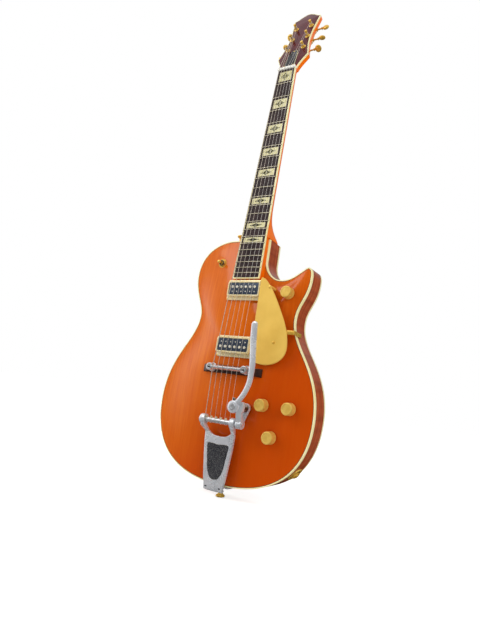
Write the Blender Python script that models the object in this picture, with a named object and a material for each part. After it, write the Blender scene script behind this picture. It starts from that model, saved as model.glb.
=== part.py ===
# Single-cutaway chambered electric guitar with a spring-loaded vibrato tailpiece.
# Metres. +X to the treble side, +Y to the back, +Z up the neck.
# The origin lies on the flat back of the body, straight behind the bridge.
# "Height" means the distance in front of the plane of the top's edge.

import math

import bmesh
import bpy
from mathutils import Matrix, Vector

GAP = 0.0003

# Body
BODY_DEPTH = 0.0425
TOP_EDGE = 0.006
ARCH_HEIGHT = 0.013
ARCH_CENTRE_Z = 0.020
BACK_THICKNESS = 0.006
RIM_WALL = 0.008
CENTRE_BLOCK_WIDTH = 0.090
TREBLE_CHAMBER_TOP = 0.1545
BINDING_WIDTH = 0.0022
BACK_BINDING_DEPTH = 0.005

TAIL_Z = -0.197
LOWER_BOUT_X = 0.162
LOWER_BOUT_Z = -0.065
BASS_WAIST_X = 0.1028
BASS_WAIST_Z = 0.0975
TREBLE_WAIST_X = 0.1045
TREBLE_WAIST_Z = 0.0935
UPPER_BOUT_X = 0.126
UPPER_BOUT_Z = 0.176
SHOULDER_X = 0.050
SHOULDER_Z = 0.2462
HORN_X = 0.1258
HORN_Z = 0.1740
HORN_TIP_X = 0.1135
HORN_TIP_Z = 0.1888
CUTAWAY_X = 0.0665
CUTAWAY_Z = 0.1669
NECK_SIDE_X = 0.0292
NECK_SIDE_Z = 0.205

# Neck
SCALE_LENGTH = 0.6248
FRET_COUNT = 22
BOARD_OVERHANG = 0.0103
BOARD_THICKNESS = 0.0048
BOARD_RADIUS = 0.305
NUT_WIDTH = 0.0402
BOARD_END_WIDTH = 0.0565
BOARD_BINDING = 0.0016
FRET_HEIGHT = 0.0011
FRET_CROWN = 0.0011
FRET_FOOT = 0.0024
NUT_LENGTH = 0.005
NECK_EDGE = 0.0006
NECK_DEPTH_NUT = 0.0200
NECK_DEPTH_BODY = 0.0230
HEEL_WIDENING = 0.0035
HEEL_BACK = 0.004
NECK_SET_HEIGHT = 0.0180
NECK_ANGLE = math.radians(3.65)
TONGUE_SEAT = -0.0015
TENON_WIDTH = 0.042
TENON_START_Z = 0.185
TENON_FLOOR_Y = -0.022
TRUSS_ROD_DIAMETER = 0.005
TRUSS_ROD_DEPTH = 0.0125
TRUSS_END = 0.0130

# Headstock
HEAD_ANGLE = math.radians(12.1)
HEAD_DROP = 0.0045
HEAD_THICKNESS = 0.0118
HEAD_BINDING = 0.0016
HEAD_BINDING_DEPTH = 0.0032
VENEER = 0.0015
NUT_SEAT = 0.0010
HEAD_LENGTH = 0.190
HEAD_CORNER_X = 0.032
HEAD_CORNER_S = 0.1735
HEAD_WAIST_X = 0.0257
HEAD_WAIST_S = 0.1025
HEAD_HIP_X = 0.0360
HEAD_HIP_S = 0.0390

# Machine heads
POST_X = 0.0185
POST_FIRST_S = 0.0655
POST_SPACING = 0.037
POST_RADIUS = 0.0030
POST_WAIST = 0.0025
POST_HEIGHT = 0.0125
WORM_OFFSET = 0.0085
WORM_RADIUS = 0.0027
GEAR_RADIUS = 0.0053
GEAR_TEETH = 12
GEAR_THICKNESS = 0.0035
PLATE_THICKNESS = 0.0012
BUTTON_X = 0.0445
BUTTON_RADIUS = 0.0072
BUTTON_THICKNESS = 0.0060
SHAFT_RADIUS = 0.0016

# Pickups
PICKUP_WIDTH = 0.0700
PICKUP_LENGTH = 0.0290
FLANGE_WIDTH = 0.0745
FLANGE_LENGTH = 0.0380
NECK_PICKUP_Z = 0.1458
NECK_FLANGE_Z = 0.1443
NECK_FLANGE_HEIGHT = 0.0140
NECK_PICKUP_HEIGHT = 0.0188
BRIDGE_PICKUP_Z = 0.0418
BRIDGE_FLANGE_Z = 0.0400
BRIDGE_FLANGE_HEIGHT = 0.0170
BRIDGE_PICKUP_HEIGHT = 0.0248
PICKUP_WALL = 0.0035
PICKUP_FLOOR = 0.017
POLE_RADIUS = 0.0024
POLE_ROW = 0.0035

# Bridge
STRING_HEIGHT = 0.0355
BRIDGE_SPREAD = 0.052
BASE_LENGTH = 0.1226
BASE_Z = -0.0018
BASE_DEPTH = 0.0146
BASE_FLAT = 0.096
BASE_HEIGHT = 0.0205
BASE_END_THICKNESS = 0.0025
STUD_SPACING = 0.0720
STUD_RADIUS = 0.0020
WHEEL_RADIUS = 0.0080
WHEEL_THICKNESS = 0.0030
SADDLE_LENGTH = 0.0740
SADDLE_THICKNESS = 0.0070
SADDLE_END_RADIUS = 0.0066
SADDLE_TRAVEL = 0.003

# Vibrato
BAR_Z = -0.0895
BAR_HEIGHT = 0.0290
BAR_RADIUS = 0.0042
BAR_END_RADIUS = 0.0036
BEARING_RADIUS = 0.0088
BEARING_INNER_X = 0.0262
BEARING_OUTER_X = 0.0355
FRAME_THICKNESS = 0.005
FRAME_TAIL_HEIGHT = 0.0172
FRAME_TAIL_Z = -0.2035
FRAME_BEND_HEIGHT = 0.0215
FRAME_BEND_Z = -0.108
HINGE_Z = -0.2015
HINGE_HEIGHT = 0.0105
HINGE_RADIUS = 0.0038
HINGE_PIN_RADIUS = 0.0016
HINGE_BARREL = 0.0070
HINGE_PLATE_THICKNESS = 0.002
HINGE_PLATE_WIDTH = 0.040
HINGE_PLATE_BACK_Y = -0.0165
CLAMP_INNER_X = 0.0375
CLAMP_OUTER_X = 0.0485
STUD_X = 0.0340
STUD_Z = -0.062
PLATFORM_HEIGHT = 0.039
BOSS_RADIUS = 0.0102
BOSS_THICKNESS = 0.006
HANDLE_STUD_RADIUS = 0.004
EAR_LOW = 0.0143
EAR_HIGH = 0.0168
SPRING_X = 0.0425
SPRING_Z = -0.0627
SPRING_RADIUS = 0.0058
SPRING_WIRE = 0.0011
SPRING_CURLS = 5
SPRING_FOOT = 0.0176
SPRING_TOP = 0.0333
CURL_POINTS = 10

# Controls
KNOB_RADIUS = 0.0105
KNOB_HEIGHT = 0.0145
KNOB_LIFT = 0.0036
CUTAWAY_KNOB = (0.0898, 0.1402)
KNOBS = {
    "knob_master": CUTAWAY_KNOB,
    "knob_neck_volume": (0.0732, -0.0539),
    "knob_bridge_volume": (0.1210, -0.0541),
    "knob_tone": (0.0927, -0.1035),
}
POT_RADIUS = 0.0120
POT_DEPTH = 0.0090
POT_BUSHING = 0.0039
POT_NUT = 0.0064
POT_SHAFT = 0.0030
POT_HOLE = 0.0043
SWITCH_X = -0.0685
SWITCH_Z = 0.2005
SWITCH_BUSHING = 0.0055
SWITCH_BORE = 0.0042
TOGGLE_DEPTH = 0.004
WIRE_RADIUS = 0.0009
WIRE_HEIGHT = -0.0140
CHANNEL_Z = 0.090
CHANNEL_RADIUS = 0.003
JACK_X = 0.1283
JACK_Y = -0.0180
PLUG_RADIUS = 0.0032
JACK_HOLE = 0.0053
JACK_PLATE = 0.0022
TAIL_STRAP_Y = -0.0330
SHOULDER_STRAP_Y = -0.0255
SHOULDER_STRAP_X = -0.0485
STRAP_BUTTON_LENGTH = 0.0170
COVER_LOW = (0.056, -0.128)
COVER_HIGH = (0.136, -0.034)
COVER_THICKNESS = 0.002
COVER_LIP = 0.005
COVER_CORNER = 0.012

# Pickguard
GUARD_HEIGHT = 0.020
GUARD_THICKNESS = 0.0025
GUARD_LEFT_X = 0.0356
GUARD_SCREWS = ((0.0562, 0.1484), (0.0797, 0.0512))

# Strings, thin to thick
STRING_DIAMETERS = (0.00025, 0.00033, 0.00043, 0.00066, 0.00091, 0.00117)
NUT_SPREAD = 0.0335
STRING_NUT_HEIGHT = 0.0022
WRAP_END = 258
WRAP_POINTS = 9
WINDING_TURNS = 2
WINDING_CLEARANCE = 0.00045
WINDING_START = 0.0050

BOARD_LENGTH = SCALE_LENGTH * (1 - 2 ** (-FRET_COUNT / 12)) + BOARD_OVERHANG
STRING_COUNT = len(STRING_DIAMETERS)


def front(height):
    return -(BODY_DEPTH + height)


NUT_Y = front(NECK_SET_HEIGHT) + math.sin(NECK_ANGLE) * BOARD_LENGTH
NECK = Matrix.Translation((0, NUT_Y, SCALE_LENGTH)) @ Matrix.Rotation(-NECK_ANGLE, 4, "X")
HEAD = NECK @ Matrix.Translation((0, HEAD_DROP, NUT_LENGTH + GAP)) @ Matrix.Rotation(-HEAD_ANGLE, 4, "X")


# Materials: colour, roughness, metallic
FINISHES = {
    "orange_top": ((0.62, 0.16, 0.02), 0.2, 0.0),
    "orange_neck": ((0.85, 0.26, 0.02), 0.25, 0.0),
    "mahogany": ((0.30, 0.07, 0.03), 0.3, 0.0),
    "cream": ((0.90, 0.82, 0.52), 0.35, 0.0),
    "gold": ((0.80, 0.56, 0.16), 0.25, 1.0),
    "satin_gold": ((0.74, 0.55, 0.20), 0.4, 0.9),
    "aluminium": ((0.78, 0.79, 0.80), 0.3, 1.0),
    "steel": ((0.70, 0.70, 0.70), 0.25, 1.0),
    "black": ((0.02, 0.02, 0.025), 0.35, 0.0),
    "plum": ((0.11, 0.02, 0.04), 0.2, 0.0),
    "rosewood": ((0.06, 0.03, 0.02), 0.5, 0.0),
    "bone": ((0.90, 0.88, 0.80), 0.35, 0.0),
}
MATERIALS = {}


def make_materials():
    for name, (colour, roughness, metallic) in FINISHES.items():
        material = bpy.data.materials.new(name)
        material.use_nodes = True
        shader = material.node_tree.nodes["Principled BSDF"]
        shader.inputs["Base Color"].default_value = (*colour, 1)
        shader.inputs["Roughness"].default_value = roughness
        shader.inputs["Metallic"].default_value = metallic
        MATERIALS[name] = material


# Mesh tools

def link(name, data, finish):
    obj = bpy.data.objects.new(name, data)
    bpy.context.scene.collection.objects.link(obj)
    data.materials.append(MATERIALS[finish])
    return obj


def twisted(face):
    # True where the fourth corner leaves the plane of the other three.
    one, two, three, four = [vert.co for vert in face.verts]
    normal = (two - one).cross(three - one)
    return normal.length > 0 and abs((four - one).dot(normal.normalized())) > 1e-7


def build(name, bm, finish):
    curved = [face for face in bm.faces if len(face.verts) == 4 and twisted(face)]
    bmesh.ops.triangulate(bm, faces=curved)
    bmesh.ops.recalc_face_normals(bm, faces=bm.faces)
    mesh = bpy.data.meshes.new(name)
    bm.to_mesh(mesh)
    bm.free()
    mesh.shade_smooth()
    mesh.set_sharp_from_angle(angle=math.radians(35))
    return link(name, mesh, finish)


def loft(name, rings, finish, closed=False):
    # Rings of equal length, joined in order; a closed loft has no end faces.
    bm = bmesh.new()
    loops = [[bm.verts.new(point) for point in ring] for ring in rings]
    pairs = list(zip(loops, loops[1:]))
    if closed:
        pairs.append((loops[-1], loops[0]))
    for one, other in pairs:
        for i in range(len(one)):
            j = (i + 1) % len(one)
            bm.faces.new((one[i], one[j], other[j], other[i]))
    if not closed:
        bm.faces.new(loops[0])
        bm.faces.new(loops[-1])
    return build(name, bm, finish)


def hull(name, points, finish="steel"):
    bm = bmesh.new()
    verts = [bm.verts.new(point) for point in points]
    made = bmesh.ops.convex_hull(bm, input=verts)
    spare = {item for item in made["geom_interior"] + made["geom_unused"]
             if isinstance(item, bmesh.types.BMVert)}
    bmesh.ops.delete(bm, geom=list(spare), context="VERTS")
    return build(name, bm, finish)


def box(name, low, high, finish="steel"):
    corners = [(x, y, z) for x in (low[0], high[0]) for y in (low[1], high[1]) for z in (low[2], high[2])]
    return hull(name, corners, finish)


def extrude(name, outline, step, finish="steel"):
    step = Vector(step)
    base = [Vector(point) for point in outline]
    return loft(name, [base, [point + step for point in base]], finish)


def slab(name, outline, y_front, y_back, finish="steel"):
    # An outline of (x, z) points between two depths.
    return extrude(name, [(x, y_front, z) for x, z in outline], (0, y_back - y_front, 0), finish)


def ring_wall(name, outer, inner, y_front, y_back, finish):
    sections = []
    for (xo, zo), (xi, zi) in zip(outer, inner):
        sections.append([(xo, y_front, zo), (xo, y_back, zo), (xi, y_back, zi), (xi, y_front, zi)])
    return loft(name, sections, finish, closed=True)


def lathe(name, base, axis, profile, sides, finish="steel", closed=False):
    # Profile points are (radius, distance along the axis); radius 0 is only for an end.
    base = Vector(base)
    axis = Vector(axis).normalized()
    across = axis.orthogonal().normalized()
    other = axis.cross(across)
    bm = bmesh.new()
    loops = []
    for radius, distance in profile:
        centre = base + axis * distance
        if radius == 0:
            loops.append([bm.verts.new(centre)])
            continue
        ring = []
        for i in range(sides):
            turn = 2 * math.pi * i / sides
            ring.append(bm.verts.new(centre + radius * (across * math.cos(turn) + other * math.sin(turn))))
        loops.append(ring)
    pairs = list(zip(loops, loops[1:]))
    if closed:
        pairs.append((loops[-1], loops[0]))
    for one, two in pairs:
        for i in range(sides):
            j = (i + 1) % sides
            corners = [one[i % len(one)], one[j % len(one)], two[j % len(two)], two[i % len(two)]]
            bm.faces.new(list(dict.fromkeys(corners)))
    if not closed:
        for end in (loops[0], loops[-1]):
            if len(end) > 1:
                bm.faces.new(end)
    return build(name, bm, finish)


def rod(name, start, end, radius, sides=12, finish="steel"):
    start = Vector(start)
    length = (Vector(end) - start).length
    return lathe(name, start, Vector(end) - start, [(radius, 0), (radius, length)], sides, finish)


def tube(name, points, radius, finish, resolution=1):
    curve = bpy.data.curves.new(name, "CURVE")
    curve.dimensions = "3D"
    curve.bevel_depth = radius
    curve.bevel_resolution = resolution
    curve.use_fill_caps = True
    spline = curve.splines.new("POLY")
    spline.points.add(len(points) - 1)
    for slot, point in zip(spline.points, points):
        slot.co = (*point, 1)
    return link(name, curve, finish)


def meshed(obj):
    graph = bpy.context.evaluated_depsgraph_get()
    mesh = bpy.data.meshes.new_from_object(obj.evaluated_get(graph))
    name = obj.name
    finish = obj.data.materials[0].name
    bpy.data.objects.remove(obj)
    copy = link(name, mesh, finish)
    mesh.materials.pop(index=0)
    return copy


def combine(target, tools, operation):
    for tool in tools:
        modifier = target.modifiers.new(operation, "BOOLEAN")
        modifier.operation = operation
        modifier.solver = "EXACT"
        modifier.object = tool
    graph = bpy.context.evaluated_depsgraph_get()
    mesh = bpy.data.meshes.new_from_object(target.evaluated_get(graph))
    target.modifiers.clear()
    target.data = mesh
    for tool in tools:
        bpy.data.objects.remove(tool)
    if not mesh.polygons:
        raise ValueError(target.name + " has no faces left")
    mesh.shade_smooth()
    mesh.set_sharp_from_angle(angle=math.radians(35))
    return target


def carve(target, *tools):
    return combine(target, tools, "DIFFERENCE")


def fuse(target, *tools):
    return combine(target, tools, "UNION")


def pivot(obj, point):
    # Moves the object's origin to a joint's axis and leaves the shape in place.
    obj.data.transform(Matrix.Translation(-Vector(point)))
    obj.location = point
    return obj


def on_frame(obj, frame):
    obj.parent = frame
    return obj


def bezier(start, handle, other_handle, end, count):
    points = []
    for i in range(count):
        t = i / count
        u = 1 - t
        weights = (u ** 3, 3 * u * u * t, 3 * u * t * t, t ** 3)
        corners = (start, handle, other_handle, end)
        points.append(tuple(sum(w * c[k] for w, c in zip(weights, corners)) for k in (0, 1)))
    return points


def inset(outline, distance):
    # Moves each side of an anticlockwise outline inwards by the distance.
    moved = []
    for i, here in enumerate(outline):
        before = Vector(outline[i - 1])
        after = Vector(outline[(i + 1) % len(outline)])
        here = Vector(here)
        into = (here - before).normalized()
        away = (after - here).normalized()
        normal_in = Vector((-into.y, into.x))
        normal_out = Vector((-away.y, away.x))
        middle = (normal_in + normal_out).normalized()
        moved.append(tuple(here + middle * distance / middle.dot(normal_in)))
    return moved


# Body shape

def lower_side(side, waist_x, waist_z):
    # From the tail round the lower bout to the waist, on one side of the body.
    drop = LOWER_BOUT_Z - TAIL_Z
    rise = waist_z - LOWER_BOUT_Z
    bout = (side * LOWER_BOUT_X, LOWER_BOUT_Z)
    waist = (side * waist_x, waist_z)
    points = bezier((0, TAIL_Z), (side * 0.773 * LOWER_BOUT_X, TAIL_Z),
                    (side * LOWER_BOUT_X, LOWER_BOUT_Z - 0.529 * drop), bout, 9)
    points += bezier(bout, (side * LOWER_BOUT_X, LOWER_BOUT_Z + 0.517 * rise),
                     (side * waist_x, waist_z - 0.30 * rise), waist, 8)
    return points + [waist]


def body_outline():
    horn_rise = HORN_Z - TREBLE_WAIST_Z
    upper_rise = UPPER_BOUT_Z - BASS_WAIST_Z
    slope = Vector((0.84, 0.54))
    tip = Vector((HORN_TIP_X, HORN_TIP_Z))
    cutaway = (CUTAWAY_X, CUTAWAY_Z)
    neck_side = (NECK_SIDE_X, NECK_SIDE_Z)
    points = lower_side(1, TREBLE_WAIST_X, TREBLE_WAIST_Z)[:-1]
    points += bezier((TREBLE_WAIST_X, TREBLE_WAIST_Z), (TREBLE_WAIST_X, TREBLE_WAIST_Z + 0.40 * horn_rise),
                     (HORN_X, HORN_Z - 0.50 * horn_rise), (HORN_X, HORN_Z), 5)
    points += bezier((HORN_X, HORN_Z), (HORN_X, HORN_Z + 0.0125), tip + 0.007 * slope, tip, 4)
    points += bezier(tip, tip - 0.018 * slope, (CUTAWAY_X + 0.0197, CUTAWAY_Z), cutaway, 5)
    points += bezier(cutaway, (CUTAWAY_X - 0.0202, CUTAWAY_Z), (NECK_SIDE_X, NECK_SIDE_Z - 0.0202),
                     neck_side, 5)
    points += [neck_side, (NECK_SIDE_X, SHOULDER_Z)]
    shoulder_width = UPPER_BOUT_X - SHOULDER_X
    points += bezier((-SHOULDER_X, SHOULDER_Z), (-SHOULDER_X - 0.50 * shoulder_width, SHOULDER_Z),
                     (-UPPER_BOUT_X, UPPER_BOUT_Z + 0.66 * (SHOULDER_Z - UPPER_BOUT_Z)),
                     (-UPPER_BOUT_X, UPPER_BOUT_Z), 7)
    points += bezier((-UPPER_BOUT_X, UPPER_BOUT_Z), (-UPPER_BOUT_X, UPPER_BOUT_Z - 0.427 * upper_rise),
                     (-BASS_WAIST_X, BASS_WAIST_Z + 0.269 * upper_rise), (-BASS_WAIST_X, BASS_WAIST_Z), 5)
    points += list(reversed(lower_side(-1, BASS_WAIST_X, BASS_WAIST_Z)))[:-1]
    return points


OUTLINE = body_outline()
TOP_OUTLINE = inset(OUTLINE, BINDING_WIDTH + GAP)


def arch_profile(share):
    # Height of the carved top at a share of the way from its centre to its edge.
    return ARCH_HEIGHT * (0.5 + 0.5 * math.cos(math.pi * share ** 1.6))


def arch(x, z):
    centre = Vector((0, ARCH_CENTRE_Z))
    ray = Vector((x, z)) - centre
    if ray.length < 1e-6:
        return ARCH_HEIGHT
    share = 1.0
    for i, corner in enumerate(TOP_OUTLINE):
        start = Vector(TOP_OUTLINE[i - 1]) - centre
        side = Vector(corner) - centre - start
        cross = ray.x * side.y - ray.y * side.x
        if abs(cross) < 1e-12:
            continue
        along_side = (start.x * ray.y - start.y * ray.x) / cross
        along_ray = (start.x * side.y - start.y * side.x) / cross
        if 0 <= along_side <= 1 and along_ray > 0:
            share = 1 / along_ray
    return arch_profile(min(share, 1.0))


def rim_x(z):
    # Treble edge of the body at a height below the cutaway.
    found = 0
    for i, (x, here) in enumerate(OUTLINE):
        x_before, z_before = OUTLINE[i - 1]
        if x > 0 and min(here, z_before) <= z <= max(here, z_before) and here != z_before:
            found = max(found, x_before + (x - x_before) * (z - z_before) / (here - z_before))
    return found


def rim_flat(x, y, low_z, high_z):
    # Place and outward direction on the side of the rim that passes x between two heights.
    for i, end in enumerate(OUTLINE):
        start = OUTLINE[i - 1]
        if low_z < end[1] < high_z and min(start[0], end[0]) <= x <= max(start[0], end[0]):
            share = (x - start[0]) / (end[0] - start[0])
            normal = Vector((end[1] - start[1], 0, start[0] - end[0])).normalized()
            return Vector((x, y, start[1] + (end[1] - start[1]) * share)), normal


def chamber(side, top_z):
    # Hollow between the rim wall and the centre block, open towards the top.
    half = side * CENTRE_BLOCK_WIDTH / 2
    points = [(x, z) for x, z in inset(OUTLINE, RIM_WALL) if x * side > abs(half) and z < top_z]
    if side > 0:
        corners = [(points[-1][0], top_z), (half, top_z), (half, points[0][1])]
    else:
        corners = [(half, points[-1][1]), (half, points[0][1])]
    return slab("chamber", points + corners, front(0.02), -BACK_THICKNESS)


def pickup_pocket(z):
    half_x = FLANGE_WIDTH / 2 + GAP
    half_z = FLANGE_LENGTH / 2 + GAP
    return box("pocket", (-half_x, front(0.03), z - half_z),
               (half_x, front(-PICKUP_FLOOR - GAP), z + half_z))


def mortise():
    half = TENON_WIDTH / 2 + GAP
    return box("mortise", (-half, front(0.03), TENON_START_Z - GAP),
               (half, TENON_FLOOR_Y + GAP, SHOULDER_Z + 0.02))


def board_half_width(z):
    # z runs down from the nut, as it does on the neck.
    share = -z / (BOARD_LENGTH - BOARD_OVERHANG)
    return (NUT_WIDTH + (BOARD_END_WIDTH - NUT_WIDTH) * share) / 2


def neck_z(world_z, y):
    # Place along the neck of a point at a height in the world and a depth on the neck.
    return (world_z - SCALE_LENGTH + y * math.sin(NECK_ANGLE)) / math.cos(NECK_ANGLE)


def tongue_plan(clearance):
    # Corners in (x, z) of the neck's end that stands on the body under the fingerboard.
    under = BOARD_THICKNESS + GAP
    end_z = (NECK @ Vector((0, under, -BOARD_LENGTH))).z - clearance
    far_z = SHOULDER_Z + 0.004 + clearance
    end_half = board_half_width(neck_z(end_z, under)) + clearance
    far_half = board_half_width(neck_z(far_z, under)) + clearance
    return [(-end_half, end_z), (end_half, end_z), (far_half, far_z), (-far_half, far_z)]


def jack_axis():
    return rim_flat(JACK_X, JACK_Y, TAIL_Z, LOWER_BOUT_Z)


def rounded(low, high, radius, count=4):
    points = []
    centres = ((high[0] - radius, low[1] + radius, -90), (high[0] - radius, high[1] - radius, 0),
               (low[0] + radius, high[1] - radius, 90), (low[0] + radius, low[1] + radius, 180))
    for cx, cz, first in centres:
        for i in range(count + 1):
            turn = math.radians(first + 90 * i / count)
            points.append((cx + radius * math.cos(turn), cz + radius * math.sin(turn)))
    return points


def make_body():
    step_y = -(BACK_BINDING_DEPTH + GAP)
    join_y = -(BODY_DEPTH - TOP_EDGE) + GAP
    back_inner = inset(OUTLINE, BINDING_WIDTH + GAP)
    rings = [[(x, join_y, z) for x, z in OUTLINE], [(x, step_y, z) for x, z in OUTLINE],
             [(x, step_y, z) for x, z in back_inner], [(x, 0, z) for x, z in back_inner]]
    body = loft("body_back", rings, "mahogany")
    cover = rounded(COVER_LOW, COVER_HIGH, COVER_CORNER)
    place, normal = jack_axis()
    recess = inset(cover, -GAP)
    opening = inset(cover, COVER_LIP)
    wire_y = front(WIRE_HEIGHT)
    carve(body, chamber(1, TREBLE_CHAMBER_TOP), chamber(-1, SHOULDER_Z), pickup_pocket(NECK_FLANGE_Z),
          pickup_pocket(BRIDGE_FLANGE_Z), mortise(), slab("recess", recess, -(COVER_THICKNESS + GAP), 0.01),
          slab("opening", opening, -0.02, 0.01),
          rod("channel", (-0.05, wire_y, CHANNEL_Z), (0.05, wire_y, CHANNEL_Z), CHANNEL_RADIUS),
          rod("jack_hole", place - 0.02 * normal, place + 0.02 * normal, JACK_HOLE, 16))
    slab("rear_cover", cover, -COVER_THICKNESS, 0, "black")

    under_y = -(BODY_DEPTH - TOP_EDGE)
    shares = (1.0, 0.94, 0.84, 0.70, 0.50, 0.25)
    rings = [[(x, under_y, z) for x, z in TOP_OUTLINE]]
    for share in shares:
        y = front(arch_profile(share))
        rings.append([(x * share, y, ARCH_CENTRE_Z + (z - ARCH_CENTRE_Z) * share) for x, z in TOP_OUTLINE])
    top = loft("body_top", rings, "orange_top")
    holes = [rod("switch_hole", (SWITCH_X, front(0.03), SWITCH_Z), (SWITCH_X, front(-0.03), SWITCH_Z),
                 SWITCH_BUSHING + GAP, 16)]
    for x, z in KNOBS.values():
        holes.append(rod("pot_hole", (x, front(0.03), z), (x, front(-0.03), z), POT_HOLE, 16))
    carve(top, *holes)
    carve(top, pickup_pocket(NECK_FLANGE_Z), pickup_pocket(BRIDGE_FLANGE_Z), mortise(),
          slab("recess", tongue_plan(GAP), front(0.03), front(TONGUE_SEAT)))

    binding = ring_wall("top_binding", OUTLINE, inset(OUTLINE, BINDING_WIDTH), front(0), under_y, "cream")
    carve(binding, mortise(), slab("recess", tongue_plan(GAP), front(0.03), front(TONGUE_SEAT)))
    ring_wall("back_binding", OUTLINE, inset(OUTLINE, BINDING_WIDTH), -BACK_BINDING_DEPTH, 0, "cream")


# Neck and headstock

def neck_ring(z, half, top, depth, squareness=0.0, count=10):
    # A half ellipse under the board; squareness 1 makes it nearly a rectangle.
    side = top + NECK_EDGE
    power = 1 - 0.65 * squareness
    ring = [(-half, top, z)]
    for i in range(count + 1):
        turn = math.pi * i / count
        across = math.copysign(abs(math.cos(turn)) ** power, math.cos(turn))
        ring.append((-half * across, side + (depth - side) * math.sin(turn) ** power, z))
    ring.append((half, top, z))
    return ring


def head_outline():
    half = bezier((NUT_WIDTH / 2, -HEAD_BINDING - GAP), (NUT_WIDTH / 2 + 0.0008, 0.010),
                  (HEAD_HIP_X - 0.0073, HEAD_HIP_S - 0.0153), (HEAD_HIP_X, HEAD_HIP_S), 4)
    half += bezier((HEAD_HIP_X, HEAD_HIP_S), (HEAD_HIP_X - 0.0023, HEAD_HIP_S + 0.0119),
                   (HEAD_WAIST_X, HEAD_WAIST_S - 0.0293), (HEAD_WAIST_X, HEAD_WAIST_S), 4)
    half += bezier((HEAD_WAIST_X, HEAD_WAIST_S), (HEAD_WAIST_X, HEAD_WAIST_S + 0.0251),
                   (HEAD_CORNER_X - 0.0025, HEAD_CORNER_S - 0.0220), (HEAD_CORNER_X, HEAD_CORNER_S), 3)
    half += bezier((HEAD_CORNER_X, HEAD_CORNER_S), (HEAD_CORNER_X - 0.008, HEAD_CORNER_S - 0.0005),
                   (0.016, HEAD_LENGTH - 0.0025), (0, HEAD_LENGTH), 4)
    return half + [(0, HEAD_LENGTH)] + [(-x, s) for x, s in reversed(half)]


def post_places():
    # String number, side and distance up the headstock of each tuning post.
    places = []
    for i in range(3):
        s = POST_FIRST_S + i * POST_SPACING
        places.append((1 + i, 1, s))
        places.append((STRING_COUNT - i, -1, s))
    return places


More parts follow.
